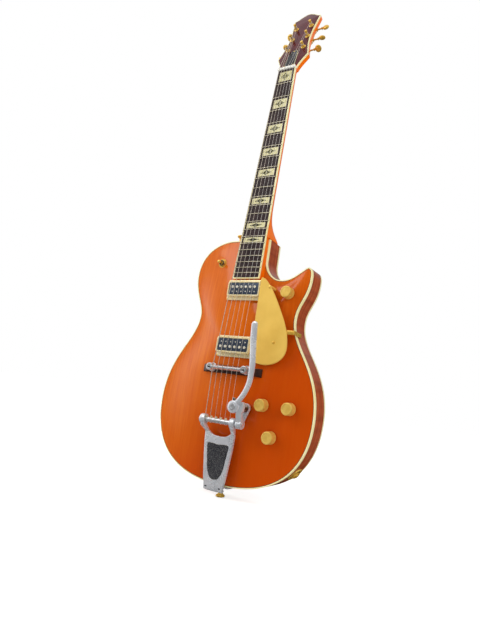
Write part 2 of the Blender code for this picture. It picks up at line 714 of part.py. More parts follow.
def make_neck(neck_frame, head_frame):
    top = BOARD_THICKNESS + GAP
    face_z = neck_z(SHOULDER_Z + GAP, top)
    stations = [(NUT_LENGTH + GAP, NECK_DEPTH_NUT - 0.001), (0.0, NECK_DEPTH_NUT),
                (0.32 * face_z, NECK_DEPTH_NUT + 0.001), (0.66 * face_z, NECK_DEPTH_BODY - 0.001),
                (0.82 * face_z, NECK_DEPTH_BODY)]
    heel_depth = -front(0) - HEEL_BACK + NECK_SET_HEIGHT - 0.005
    heel = ((0.050, 0.05), (0.036, 0.17), (0.024, 0.40), (0.014, 0.67), (0.007, 0.88), (0.003, 0.97), (0, 1))
    rings = [neck_ring(z, board_half_width(z), top, depth) for z, depth in stations]
    for before, share in heel:
        z = face_z + before
        depth = NECK_DEPTH_BODY + (heel_depth - NECK_DEPTH_BODY) * share
        rings.append(neck_ring(z, board_half_width(z) + HEEL_WIDENING * share, top, depth, share))
    rings[-1] = [(x, y, neck_z(SHOULDER_Z + GAP, y)) for x, y, z in rings[-1]]
    neck = loft("neck", rings, "orange_neck")

    corners = []
    for x, z in tongue_plan(0):
        corners.append((x, front(TONGUE_SEAT + GAP), z))
        corners.append((x, (NECK @ Vector((0, top, neck_z(z, top)))).y, z))
    stand = hull("tongue", corners)
    half = TENON_WIDTH / 2
    tenon = box("tenon", (-half, front(0.004), TENON_START_Z), (half, TENON_FLOOR_Y, SHOULDER_Z + 0.003))
    for piece in (stand, tenon):
        piece.data.transform(NECK.inverted())

    outline = head_outline()
    inner = inset(outline, HEAD_BINDING + GAP)
    step = HEAD_BINDING_DEPTH + GAP
    core = loft("core", [[(x, VENEER + GAP, s) for x, s in inner], [(x, step, s) for x, s in inner],
                         [(x, step, s) for x, s in outline],
                         [(x, HEAD_THICKNESS, s) for x, s in outline]], "steel")
    volute_rings = []
    root = NUT_WIDTH / 2 - 0.0002
    volute_plan = ((-0.004, root, 0.0160), (0.012, root - 0.0003, 0.0140), (0.030, 0.016, 0.0112))
    for s, half_width, depth in volute_plan:
        volute_rings.append(neck_ring(s, half_width, 0.006, depth, count=8))
    volute = loft("volute", volute_rings, "steel")
    to_neck = NECK.inverted() @ HEAD
    for piece in (core, volute):
        piece.data.transform(to_neck)
    fuse(neck, stand, tenon, core, volute)

    slot_half = TRUSS_ROD_DIAMETER / 2 + 0.0008
    rod_bottom = TRUSS_ROD_DEPTH + slot_half
    slot = box("slot", (-slot_half, top - 0.02, face_z + TRUSS_END - 2 * GAP), (slot_half, rod_bottom, 0.03))
    pocket = box("pocket", (-0.0052, -0.01, 0.010), (0.0052, 0.0095, 0.042))
    pocket.data.transform(to_neck)
    holes = []
    for number, side, s in post_places():
        hole = rod("hole", (side * POST_X, -0.01, s), (side * POST_X, 0.03, s), POST_RADIUS + GAP, 12)
        hole.data.transform(to_neck)
        holes.append(hole)
    carve(neck, slot, pocket, *holes)
    on_frame(neck, neck_frame)

    veneer = slab("headstock_veneer", inner, 0, VENEER, "plum")
    holes = [rod("hole", (side * POST_X, -0.01, s), (side * POST_X, 0.01, s), POST_RADIUS + GAP, 12)
             for number, side, s in post_places()]
    carve(veneer, box("nut_side", (-0.05, -0.01, -0.01), (0.05, 0.01, NUT_SEAT)),
          box("pocket", (-0.0052, -0.01, 0.010), (0.0052, 0.01, 0.042)), *holes)
    on_frame(veneer, head_frame)
    edge = ring_wall("headstock_binding", outline, inset(outline, HEAD_BINDING),
                     0, HEAD_BINDING_DEPTH, "cream")
    carve(edge, box("nut_side", (-0.05, -0.01, -0.01), (0.05, 0.01, NUT_SEAT)))
    on_frame(edge, head_frame)

    # Truss rod, with its nut in the headstock pocket
    rod_start = face_z + TRUSS_END
    truss_rod = rod("truss_rod", (0, TRUSS_ROD_DEPTH, rod_start), (0, TRUSS_ROD_DEPTH, 0.0262),
                    TRUSS_ROD_DIAMETER / 2, 8, "steel")
    fuse(truss_rod, rod("rod_nut", (0, TRUSS_ROD_DEPTH, 0.0180), (0, TRUSS_ROD_DEPTH, 0.0260), 0.0032, 6))
    on_frame(truss_rod, neck_frame)

    cover = [(-0.0135, 0.0042), (0.0135, 0.0042), (0.0112, 0.0360), (0.0104, 0.0460), (0.0076, 0.0545),
             (0.0040, 0.0580), (0, 0.0590), (-0.0040, 0.0580), (-0.0076, 0.0545), (-0.0104, 0.0460),
             (-0.0112, 0.0360)]
    on_frame(slab("truss_rod_cover", cover, -GAP - 0.0018, -GAP, "black"), head_frame)


def make_fingerboard(neck_frame):
    rings = []

    def section(z, rise):
        half = board_half_width(z) - BOARD_BINDING - GAP
        ring = [(half, BOARD_THICKNESS, z), (-half, BOARD_THICKNESS, z)]
        for i in range(5):
            x = -half + half * i / 2
            ring.append((x, x * x / (2 * BOARD_RADIUS) - rise, z))
        rings.append(ring)

    section(-GAP, 0)
    for fret in range(1, FRET_COUNT + 1):
        z = -SCALE_LENGTH * (1 - 2 ** (-fret / 12))
        section(z + FRET_FOOT / 2, 0)
        section(z + FRET_CROWN / 2, FRET_HEIGHT)
        section(z - FRET_CROWN / 2, FRET_HEIGHT)
        section(z - FRET_FOOT / 2, 0)
    section(-BOARD_LENGTH + BOARD_BINDING + GAP, 0)
    on_frame(loft("fingerboard", rings, "rosewood"), neck_frame)

    def drop(x):
        # How far the rounded board falls away from its crown.
        return x * x / (2 * BOARD_RADIUS)

    end = -BOARD_LENGTH
    outer_nut, outer_end = board_half_width(0), board_half_width(end)
    inner_nut, inner_end = outer_nut - BOARD_BINDING, outer_end - BOARD_BINDING
    path = (((outer_nut, -GAP), (inner_nut, -GAP)), ((outer_end, end), (inner_end, end + BOARD_BINDING)),
            ((-outer_end, end), (-inner_end, end + BOARD_BINDING)), ((-outer_nut, -GAP), (-inner_nut, -GAP)))
    sections = []
    for (xo, zo), (xi, zi) in path:
        sections.append([(xo, drop(xo), zo), (xo, BOARD_THICKNESS, zo),
                         (xi, BOARD_THICKNESS, zi), (xi, drop(xi), zi)])
    on_frame(loft("fingerboard_binding", sections, "cream"), neck_frame)

    half = NUT_WIDTH / 2
    nut = box("nut", (-half, -STRING_NUT_HEIGHT - 0.0006, 0), (half, BOARD_THICKNESS, NUT_LENGTH), "bone")
    slots = []
    for number in range(1, STRING_COUNT + 1):
        radius = STRING_DIAMETERS[number - 1] / 2
        x = string_share(number) * NUT_SPREAD / 2
        slots.append(box("slot", (x - radius - GAP, -0.02, -0.01),
                         (x + radius + GAP, -STRING_NUT_HEIGHT + radius + GAP, NUT_LENGTH + 0.01)))
    carve(nut, *slots)
    on_frame(nut, neck_frame)


def string_share(number):
    # 1 for the first, thinnest string at the treble edge, -1 for the last.
    return 1 - 2 * (number - 1) / (STRING_COUNT - 1)


# Machine heads

def make_machine_heads(head_frame):
    plate_front = HEAD_THICKNESS + GAP
    plate_back = plate_front + PLATE_THICKNESS
    gear_front = plate_back + 0.0012
    gear_back = gear_front + GEAR_THICKNESS
    worm_y = (gear_front + gear_back) / 2
    ear_x = 0.0052
    for side, label in ((-1, "bass"), (1, "treble")):
        centre = side * POST_X
        first = POST_FIRST_S - 0.012
        last = POST_FIRST_S + 2 * POST_SPACING + 0.019
        plate = box("tuner_plate_" + label, (centre - 0.0068, plate_front, first),
                    (centre + 0.0068, plate_back, last), "gold")
        ears = []
        holes = []
        for i in range(3):
            s = POST_FIRST_S + i * POST_SPACING
            worm_s = s + WORM_OFFSET
            for x in (centre - ear_x, centre + ear_x):
                ears.append(box("ear", (x - 0.0008, plate_back - 0.0004, worm_s - 0.0032),
                                (x + 0.0008, worm_y + 0.0030, worm_s + 0.0032)))
            holes.append(rod("bore", (centre - 0.01, worm_y, worm_s), (centre + 0.01, worm_y, worm_s),
                             SHAFT_RADIUS + GAP, 8))
            holes.append(rod("bore", (centre, 0, s), (centre, 0.03, s), POST_RADIUS + GAP, 12))
        fuse(plate, *ears)
        carve(plate, *holes)
        on_frame(plate, head_frame)

    for number, side, s in post_places():
        x = side * POST_X
        worm_s = s + WORM_OFFSET
        waist = gear_back + WINDING_START
        tip = gear_back + POST_HEIGHT
        profile = [(POST_RADIUS, 0), (POST_RADIUS, waist - 0.0010), (POST_WAIST, waist - 0.0006),
                   (POST_WAIST, tip - 0.0026), (POST_RADIUS, tip - 0.0020), (POST_RADIUS, tip - 0.0006),
                   (POST_WAIST, tip)]
        post = lathe("tuner_post_%d" % number, (x, gear_back, s), (0, -1, 0), profile, 10, "gold")
        wheel = []
        for i in range(2 * GEAR_TEETH):
            radius = GEAR_RADIUS if i % 2 else GEAR_RADIUS - 0.0013
            turn = math.pi * i / GEAR_TEETH
            wheel.append((x + radius * math.cos(turn), s + radius * math.sin(turn)))
        fuse(post, slab("gear", wheel, gear_front, gear_back - 0.0002))
        pivot(on_frame(post, head_frame), (x, 0, s))

        tip = side * BUTTON_X
        inner = side * (POST_X - ear_x - 0.0012)
        shaft = rod("tuner_button_%d" % number, (inner, worm_y, worm_s), (tip, worm_y, worm_s),
                    SHAFT_RADIUS, 8, "gold")
        thread = [(SHAFT_RADIUS, 0)]
        for i in range(3):
            start = 0.0025 * i
            thread += [(WORM_RADIUS, start + 0.0008), (WORM_RADIUS, start + 0.0015)]
            thread.append((WORM_RADIUS - 0.0008, start + 0.0022))
        thread.append((SHAFT_RADIUS, 0.0078))
        worm = lathe("worm", (x - 0.0039, worm_y, worm_s), (1, 0, 0), thread, 8)
        collar = lathe("collar", (side * (abs(tip) - BUTTON_RADIUS - 0.0035), worm_y, worm_s), (side, 0, 0),
                       [(0.0016, 0), (0.0030, 0.0012), (0.0024, 0.0050)], 8)
        lean = math.radians(25 + 50 * number)
        face = Vector((0, math.cos(lean), math.sin(lean)))
        half = BUTTON_THICKNESS / 2
        disc = lathe("disc", Vector((tip, worm_y, worm_s)) - face * half, face,
                     [(0.55 * BUTTON_RADIUS, 0), (0.86 * BUTTON_RADIUS, 0.22 * half),
                      (BUTTON_RADIUS, 0.75 * half), (BUTTON_RADIUS, 1.25 * half),
                      (0.86 * BUTTON_RADIUS, 1.78 * half), (0.55 * BUTTON_RADIUS, 2 * half)], 12)
        fuse(shaft, worm, collar, disc)
        pivot(on_frame(shaft, head_frame), (x, worm_y, worm_s))


# Pickups

def make_pickup(label, z, flange_z, flange_height, height, pole_side):
    half_x = PICKUP_WIDTH / 2
    half_z = PICKUP_LENGTH / 2
    cover = slab(label + "_pickup_cover", rounded((-half_x, z - half_z), (half_x, z + half_z), 0.004, 2),
                 front(height), front(-PICKUP_FLOOR), "gold")
    flange = rounded((-FLANGE_WIDTH / 2, flange_z - FLANGE_LENGTH / 2),
                     (FLANGE_WIDTH / 2, flange_z + FLANGE_LENGTH / 2), 0.002, 2)
    fuse(cover, slab("flange", flange, front(flange_height), front(flange_height - 0.003)))
    window_x = half_x - PICKUP_WALL
    window_z = half_z - PICKUP_WALL
    window = rounded((-window_x, z - window_z), (window_x, z + window_z), 0.002, 2)
    carve(cover, slab("window", window, front(height + 0.01), front(-PICKUP_FLOOR - 0.01)))
    coil = slab(label + "_pickup_coil", inset(window, GAP),
                front(height - 0.0008), front(-PICKUP_FLOOR), "black")
    poles = []
    for number in range(1, STRING_COUNT + 1):
        x = string_share(number) * string_spread(z) / 2
        poles.append(rod("pole", (x, front(height + 0.0006), z + pole_side * POLE_ROW),
                         (x, front(height - 0.003), z + pole_side * POLE_ROW), POLE_RADIUS, 10))
    fuse(coil, *poles)


def string_spread(z):
    return BRIDGE_SPREAD + (NUT_SPREAD - BRIDGE_SPREAD) * z / SCALE_LENGTH


# Bridge

def make_bridge():
    half = BASE_DEPTH / 2
    rings = []
    count = 12
    for i in range(count + 1):
        x = -BASE_LENGTH / 2 + BASE_LENGTH * i / count
        low = [arch(x, z) + GAP for z in (BASE_Z - half, BASE_Z + half)]
        flat = BASE_FLAT / 2
        thin = max(arch(x, BASE_Z) + GAP + BASE_END_THICKNESS, max(low) + BASE_END_THICKNESS)
        share = max(0.0, (abs(x) - flat) / (BASE_LENGTH / 2 - flat))
        high = BASE_HEIGHT + (thin - BASE_HEIGHT) * share
        rings.append([(x, front(low[0]), BASE_Z - half), (x, front(high), BASE_Z + 0.0008 - half),
                      (x, front(high), BASE_Z + half - 0.0008), (x, front(low[1]), BASE_Z + half)])
    base = loft("bridge_base", rings, "rosewood")
    wheel_low = BASE_HEIGHT + GAP
    saddle_low = wheel_low + WHEEL_THICKNESS + GAP
    stud_top = STRING_HEIGHT + 0.0010
    studs = [rod("stud", (x, front(BASE_HEIGHT - 0.004), 0), (x, front(stud_top), 0), STUD_RADIUS, 12)
             for x in (-STUD_SPACING / 2, STUD_SPACING / 2)]
    fuse(base, *studs)

    for label, x in (("bass", -STUD_SPACING / 2), ("treble", STUD_SPACING / 2)):
        bore = STUD_RADIUS + GAP
        rim = [(WHEEL_RADIUS - 0.0004, 0), (WHEEL_RADIUS, 0.0006), (WHEEL_RADIUS, WHEEL_THICKNESS - 0.0006),
               (WHEEL_RADIUS - 0.0004, WHEEL_THICKNESS), (bore, WHEEL_THICKNESS), (bore, 0)]
        wheel = lathe("thumbwheel_" + label, (x, front(wheel_low), 0), (0, -1, 0), rim, 16,
                      "steel", closed=True)
        pivot(wheel, (x, front(wheel_low), 0))

    half = SADDLE_THICKNESS / 2
    saddle = box("bridge_saddle", (-SADDLE_LENGTH / 2, front(STRING_HEIGHT + 0.0006), -half),
                 (SADDLE_LENGTH / 2, front(saddle_low), half), "steel")
    ends = [rod("end", (x, front(STRING_HEIGHT - 0.002), 0), (x, front(saddle_low), 0), SADDLE_END_RADIUS, 14)
            for x in (-STUD_SPACING / 2, STUD_SPACING / 2)]
    fuse(saddle, *ends)
    bores = [rod("bore", (x, front(0.05), 0), (x, front(0), 0), STUD_RADIUS + GAP, 12)
             for x in (-STUD_SPACING / 2, STUD_SPACING / 2)]
    slots = []
    for number in range(1, STRING_COUNT + 1):
        radius = STRING_DIAMETERS[number - 1] / 2
        x = string_share(number) * BRIDGE_SPREAD / 2
        slots.append(box("slot", (x - radius - GAP, front(STRING_HEIGHT + 0.01), -0.02),
                         (x + radius + GAP, front(STRING_HEIGHT - radius - GAP - 0.0008), 0.02)))
    carve(saddle, *bores, *slots)


# Vibrato

def frame_height(z):
    # Front face of the sloping plate, from the hinge up to the bend under the bearings.
    share = (z - FRAME_TAIL_Z) / (FRAME_BEND_Z - FRAME_TAIL_Z)
    return FRAME_TAIL_HEIGHT + (FRAME_BEND_HEIGHT - FRAME_TAIL_HEIGHT) * share


def sloped(name, outline, above, thickness, finish="steel"):
    # A plate of (x, z) points lying along the frame's front face.
    base = [(x, front(frame_height(z) + above), z) for x, z in outline]
    return extrude(name, base, (0, thickness, 0), finish)


def mirrored(half):
    # Completes an anticlockwise outline from its treble half.
    return half + [(-x, z) for x, z in reversed(half) if x > 1e-9]


def make_vibrato():
    bar_y = front(BAR_HEIGHT)
    outer = [(0.0183, FRAME_TAIL_Z), (0.0222, -0.1830), (0.0265, -0.1510), (0.0290, -0.1300),
             (0.0298, -0.1190), (0.0305, FRAME_BEND_Z)]
    cut = [(0.0228, FRAME_BEND_Z), (0.0180, FRAME_BEND_Z - 0.0040), (0.0105, FRAME_BEND_Z - 0.0064)]
    outline = mirrored(outer + cut + [(0, FRAME_BEND_Z - 0.0070)])
    frame = sloped("vibrato_frame", outline, 0, FRAME_THICKNESS, "aluminium")
    bearings = [rod("bearing", (side * BEARING_INNER_X, bar_y, BAR_Z), (side * BEARING_OUTER_X, bar_y, BAR_Z),
                    BEARING_RADIUS, 18) for side in (-1, 1)]
    arms = []
    for side in (-1, 1):
        foot = [(side * x, front(FRAME_BEND_HEIGHT + drop), FRAME_BEND_Z + z) for x in (0.0226, 0.0302)
                for drop, z in ((-0.0046, -0.0030), (-0.0004, -0.0030), (-0.0046, 0.0040))]
        head = [(side * x, front(BAR_HEIGHT + drop), BAR_Z + z) for x in (0.0268, 0.0345)
                for drop, z in ((0.0050, -0.0060), (-0.0040, -0.0070), (-0.0070, 0.0))]
        arms.append(hull("arm", foot + head))
    ear = hull("ear", [(x, front(h), z) for h in (EAR_LOW, EAR_HIGH) for x, z in
                       ((0.0290, -0.094), (0.0290, -0.084), (0.0345, -0.058), (0.0420, -0.0548),
                        (0.0495, -0.060), (0.0495, -0.067), (0.0380, -0.094))])
    web = box("web", (0.0290, front(0.026), -0.0935), (0.0350, front(EAR_LOW), -0.0860))
    cup = lathe("cup", (SPRING_X, front(EAR_LOW), SPRING_Z), (0, -1, 0),
                [(0.0082, 0), (0.0082, 0.0055), (0.0073, 0.0055), (0.0073, 0.0029)], 16)
    hinge_y = front(HINGE_HEIGHT)
    gap_half = HINGE_BARREL + GAP
    knuckles = [rod("knuckle", (side * gap_half, hinge_y, HINGE_Z), (side * 0.0165, hinge_y, HINGE_Z),
                    HINGE_RADIUS, 12) for side in (-1, 1)]
    fuse(frame, *bearings, *arms, ear, web, cup, *knuckles)
    insert = mirrored([(0, -0.1858), (0.0050, -0.1850), (0.0097, -0.1820), (0.0149, -0.1730),
                       (0.0174, -0.1640), (0.0197, -0.1490), (0.0224, -0.1330), (0.0222, -0.1290),
                       (0.0200, -0.1270), (0.0120, -0.1268), (0, -0.1280)])
    carve(frame, rod("bore", (-0.06, bar_y, BAR_Z), (0.06, bar_y, BAR_Z), BAR_END_RADIUS + GAP, 16),
          rod("pin_bore", (-0.03, hinge_y, HINGE_Z), (0.03, hinge_y, HINGE_Z), HINGE_PIN_RADIUS + GAP, 12),
          box("knuckle_gap", (-gap_half, front(0.03), -0.21),
              (gap_half, front(0), HINGE_Z + HINGE_RADIUS + 0.0006)),
          sloped("pocket", inset(insert, -GAP), 0.01, 0.012))
    sloped("frame_insert", insert, -0.0008, 0.0009, "black")

    plate_front = TAIL_Z - GAP
    plate_back = plate_front - HINGE_PLATE_THICKNESS
    half = HINGE_PLATE_WIDTH / 2
    plate = box("hinge_plate", (-half, front(0.0015), plate_back), (half, HINGE_PLATE_BACK_Y, plate_front),
                "aluminium")
    tab = box("tab", (-HINGE_BARREL, hinge_y, plate_back), (HINGE_BARREL, front(-0.001), plate_front))
    barrel = rod("barrel", (-HINGE_BARREL, hinge_y, HINGE_Z), (HINGE_BARREL, hinge_y, HINGE_Z),
                 HINGE_RADIUS, 12)
    pin = rod("pin", (-0.0185, hinge_y, HINGE_Z), (0.0185, hinge_y, HINGE_Z), HINGE_PIN_RADIUS, 12)
    fuse(plate, tab, barrel, pin)

    # The bar that winds the strings, with a pin for each ball end
    bar = rod("string_bar", (-BEARING_OUTER_X - 0.0005, bar_y, BAR_Z), (CLAMP_OUTER_X + 0.0010, bar_y, BAR_Z),
              BAR_END_RADIUS, 14, "steel")
    middle_x = BEARING_INNER_X - 0.0005
    middle = rod("middle", (-middle_x, bar_y, BAR_Z), (middle_x, bar_y, BAR_Z), BAR_RADIUS, 14)
    pins = []
    lean = math.radians(15)
    reach = BAR_RADIUS + 0.0028
    for number in range(1, STRING_COUNT + 1):
        x = bar_string_x(number)
        tip = (x, bar_y - reach * math.sin(lean), BAR_Z + reach * math.cos(lean))
        pins.append(rod("pin", (x, bar_y, BAR_Z), tip, 0.0009, 8))
    fuse(bar, middle, *pins)
    pivot(bar, (0, bar_y, BAR_Z))

    # The rocker arm clamps the bar, presses on the spring and carries the handle
    clamp = lathe("rocker_arm", (CLAMP_INNER_X, bar_y, BAR_Z), (1, 0, 0),
                  [(0.0070, 0), (0.0075, 0.0006), (0.0075, CLAMP_OUTER_X - CLAMP_INNER_X)], 18, "aluminium")
    lever = hull("lever", [(x, front(h), z) for x in (CLAMP_INNER_X, CLAMP_OUTER_X) for h, z in
                           ((BAR_HEIGHT - 0.004, BAR_Z + 0.002), (BAR_HEIGHT + 0.007, BAR_Z + 0.001),
                            (SPRING_TOP + GAP, STUD_Z - 0.004), (PLATFORM_HEIGHT, STUD_Z - 0.008))])
    outline = rounded((STUD_X - 0.0080, STUD_Z - 0.0085), (CLAMP_OUTER_X + 0.0025, STUD_Z + 0.0095), 0.004, 3)
    platform = slab("platform", outline, front(PLATFORM_HEIGHT), front(SPRING_TOP + GAP))
    neck_end = 0.002 + BOSS_THICKNESS + 2 * GAP
    stud = lathe("stud", (STUD_X, front(PLATFORM_HEIGHT - 0.002), STUD_Z), (0, -1, 0),
                 [(HANDLE_STUD_RADIUS, 0), (HANDLE_STUD_RADIUS, neck_end), (0.0058, neck_end),
                  (0.0058, neck_end + 0.0014)], 16)
    bolt_y = front(PLATFORM_HEIGHT - 0.0036)
    bolt = rod("bolt", (0.0290, bolt_y, STUD_Z + 0.004), (0.0290, bolt_y, STUD_Z + 0.0150), 0.0030, 8)
    fuse(clamp, lever, platform, stud, bolt)
    carve(clamp, rod("bore", (0.03, bar_y, BAR_Z), (0.06, bar_y, BAR_Z), BAR_END_RADIUS + GAP, 16))
    pivot(clamp, (0, bar_y, BAR_Z))

    make_handle()
    make_spring()


def bar_string_x(number):
    return string_share(number) * string_spread(BAR_Z) / 2 * 0.92


def make_handle():
    middle = PLATFORM_HEIGHT + GAP + BOSS_THICKNESS / 2
    route = [(STUD_X + 0.0045, STUD_Z + 0.0055, 0, 0.0088), (0.0455, -0.0480, 0.0002, 0.0086),
             (0.0530, -0.0365, 0.0008, 0.0090), (0.0587, -0.0220, 0.0015, 0.0095),
             (0.0607, -0.0060, 0.0022, 0.0100), (0.0606, 0.0120, 0.0030, 0.0106),
             (0.0587, 0.0310, 0.0037, 0.0110), (0.0566, 0.0500, 0.0043, 0.0114),
             (0.0555, 0.0660, 0.0048, 0.0116), (0.0552, 0.0785, 0.0052, 0.0112),
             (0.0551, 0.0815, 0.0053, 0.0084)]
    rings = []
    for i, (x, z, rise, width) in enumerate(route):
        before = route[max(i - 1, 0)]
        after = route[min(i + 1, len(route) - 1)]
        along = Vector((after[0] - before[0], 0, after[1] - before[1])).normalized()
        across = Vector((along.z, 0, -along.x))
        centre = Vector((x, front(middle + rise), z))
        half = width / 2
        thick = 0.0027 if i < len(route) - 1 else 0.0018
        corner = 0.0014
        section = ((half, corner - thick), (half, thick - corner), (half - corner, thick),
                   (corner - half, thick), (-half, thick - corner), (-half, corner - thick),
                   (corner - half, -thick), (half - corner, -thick))
        rings.append([centre + across * u + Vector((0, v, 0)) for u, v in section])
    handle = loft("handle", rings, "aluminium")
    boss = lathe("boss", (STUD_X, front(PLATFORM_HEIGHT + GAP), STUD_Z), (0, -1, 0),
                 [(BOSS_RADIUS, 0), (BOSS_RADIUS, BOSS_THICKNESS - 0.001),
                  (BOSS_RADIUS - 0.0012, BOSS_THICKNESS)], 20)
    fuse(handle, boss)
    carve(handle, rod("bore", (STUD_X, front(0.02), STUD_Z), (STUD_X, front(0.06), STUD_Z),
                      HANDLE_STUD_RADIUS + GAP, 16))
    pivot(handle, (STUD_X, front(PLATFORM_HEIGHT + GAP), STUD_Z))


def least_gap(name, points, wire, skip):
    # Least clear distance between turns, from the wire's own points.
    least = min((points[i] - points[j]).length
                for i in range(len(points)) for j in range(i + skip, len(points)))
    print("%s: least gap to itself %.2f mm" % (name, 1000 * (least - 2 * wire)))


def make_spring():
    points = []
    steps = SPRING_CURLS * CURL_POINTS
    low = SPRING_FOOT + SPRING_WIRE
    rise = SPRING_TOP - SPRING_WIRE - low
    for i in range(steps + 1):
        turn = 2 * math.pi * i / CURL_POINTS
        points.append(Vector((SPRING_X + SPRING_RADIUS * math.cos(turn), front(low + rise * i / steps),
                              SPRING_Z + SPRING_RADIUS * math.sin(turn))))
    least_gap("vibrato_spring", points, SPRING_WIRE, CURL_POINTS - 2)
    tube("vibrato_spring", points, SPRING_WIRE, "steel")


# Controls

def make_controls():
    bodies = []
    bores = []
    for name, (x, z) in KNOBS.items():
        top = arch(x, z)
        base = top + KNOB_LIFT
        shape = [(KNOB_RADIUS - 0.0006, 0), (KNOB_RADIUS, 0.0008), (KNOB_RADIUS, KNOB_HEIGHT - 0.0030),
                 (KNOB_RADIUS - 0.0006, KNOB_HEIGHT - 0.0010), (KNOB_RADIUS - 0.0022, KNOB_HEIGHT)]
        knob = lathe(name, (x, front(base), z), (0, -1, 0), shape, 20, "gold")
        fuse(knob, rod("shaft", (x, front(base + 0.003), z), (x, front(-0.0120), z), POT_SHAFT, 10))
        pivot(knob, (x, front(base), z))
        pot_front = -TOP_EDGE - GAP
        bodies.append(rod("pot", (x, front(pot_front), z), (x, front(pot_front - POT_DEPTH), z),
                          POT_RADIUS, 16))
        bushing_y = front(top + KNOB_LIFT - 0.0006)
        bodies.append(rod("bushing", (x, front(pot_front - 0.001), z), (x, bushing_y, z), POT_BUSHING, 12))
        bodies.append(rod("nut", (x, front(top + 0.0012), z), (x, bushing_y, z), POT_NUT, 6))
        bores.append(rod("bore", (x, front(0.05), z), (x, front(-0.0125), z), POT_SHAFT + GAP, 12))

    place, normal = jack_axis()
    inner_end = place - normal * 0.030
    volume_x, volume_z = KNOBS["knob_neck_volume"]
    tone_x, tone_z = KNOBS["knob_tone"]
    other_x, other_z = KNOBS["knob_bridge_volume"]
    route = [(SWITCH_X, SWITCH_Z - 0.0060), (-0.080, 0.160), (-0.072, 0.115), (-0.050, CHANNEL_Z + 0.001),
             (-0.040, CHANNEL_Z), (0.040, CHANNEL_Z), (0.052, CHANNEL_Z + 0.002), (0.070, 0.110),
             CUTAWAY_KNOB]
    cables = [route, [CUTAWAY_KNOB, (0.088, 0.095), (0.080, 0.030), (0.075, -0.020), (volume_x, volume_z)],
              [(volume_x, volume_z), (0.090, -0.082), (tone_x, tone_z)],
              [(tone_x, tone_z), (0.114, -0.082), (other_x, other_z)]]
    wires = []
    for cable in cables:
        points = [Vector((x, front(WIRE_HEIGHT), z)) for x, z in cable]
        wires.append(meshed(tube("cable", points, WIRE_RADIUS, "black")))
    lead = [Vector((tone_x, front(WIRE_HEIGHT), tone_z)),
            Vector((0.1000, front(WIRE_HEIGHT - 0.004), -0.122)), inner_end - normal * (0.0010 + GAP)]
    wires.append(meshed(tube("lead", lead, WIRE_RADIUS, "black")))
    switch_top = arch(SWITCH_X, SWITCH_Z)
    switch_end = front(switch_top + 0.0046)
    bodies.append(box("switch", (SWITCH_X - 0.006, front(-TOP_EDGE - GAP), SWITCH_Z - 0.0085),
                      (SWITCH_X + 0.006, front(-0.028), SWITCH_Z + 0.0085)))
    bodies.append(rod("bushing", (SWITCH_X, front(-0.008), SWITCH_Z), (SWITCH_X, switch_end, SWITCH_Z),
                      SWITCH_BUSHING, 16))
    bodies.append(rod("nut", (SWITCH_X, front(switch_top + 0.0012), SWITCH_Z),
                      (SWITCH_X, front(switch_top + 0.0034), SWITCH_Z), 0.0068, 16))
    bores.append(rod("bore", (SWITCH_X, front(0.03), SWITCH_Z), (SWITCH_X, front(-0.022), SWITCH_Z),
                     SWITCH_BORE, 16))
    harness = fuse(bodies[0], *bodies[1:], *wires)
    harness.name = "wiring_harness"
    carve(harness, *bores)

    centre = (SWITCH_X, front(-TOGGLE_DEPTH), SWITCH_Z)
    ball = SWITCH_BORE - GAP
    lever = lathe("toggle_lever", centre, (0, -1, 0),
                  [(0.4 * ball, -0.92 * ball), (0.8 * ball, -0.6 * ball), (ball, 0), (0.8 * ball, 0.6 * ball),
                   (0.0015, 0.93 * ball), (0.0014, 0.0120), (0.0018, 0.0130), (0.0030, 0.0170),
                   (0.0030, 0.0190), (0.0016, 0.0210)], 12, "gold")
    pivot(lever, centre)

    lathe("jack_plate", place + normal * GAP, normal,
          [(0.0135, 0), (0.0135, 0.0014), (0.0125, JACK_PLATE), (JACK_HOLE, JACK_PLATE), (JACK_HOLE, 0)],
          24, "gold", closed=True)
    lathe("jack_socket", place + normal * (JACK_PLATE + 2 * GAP), normal,
          [(PLUG_RADIUS, 0.0030), (0.0045, 0.0030), (0.0048, 0.0022), (0.0075, 0.0018), (0.0075, 0),
           (0.0048, 0), (0.0048, -0.0140), (0.0070, -0.0140), (0.0070, -0.0320), (PLUG_RADIUS, -0.0320)],
          16, "gold", closed=True)


def strap_button(name, base, axis):
    shape = [(0.0055, 0), (0.0040, 0.0030), (0.0036, 0.0095), (0.0075, 0.0135), (0.0080, 0.0150),
             (0.0068, 0.0165), (0.0030, STRAP_BUTTON_LENGTH)]
    return lathe(name, base, axis, shape, 16, "gold")


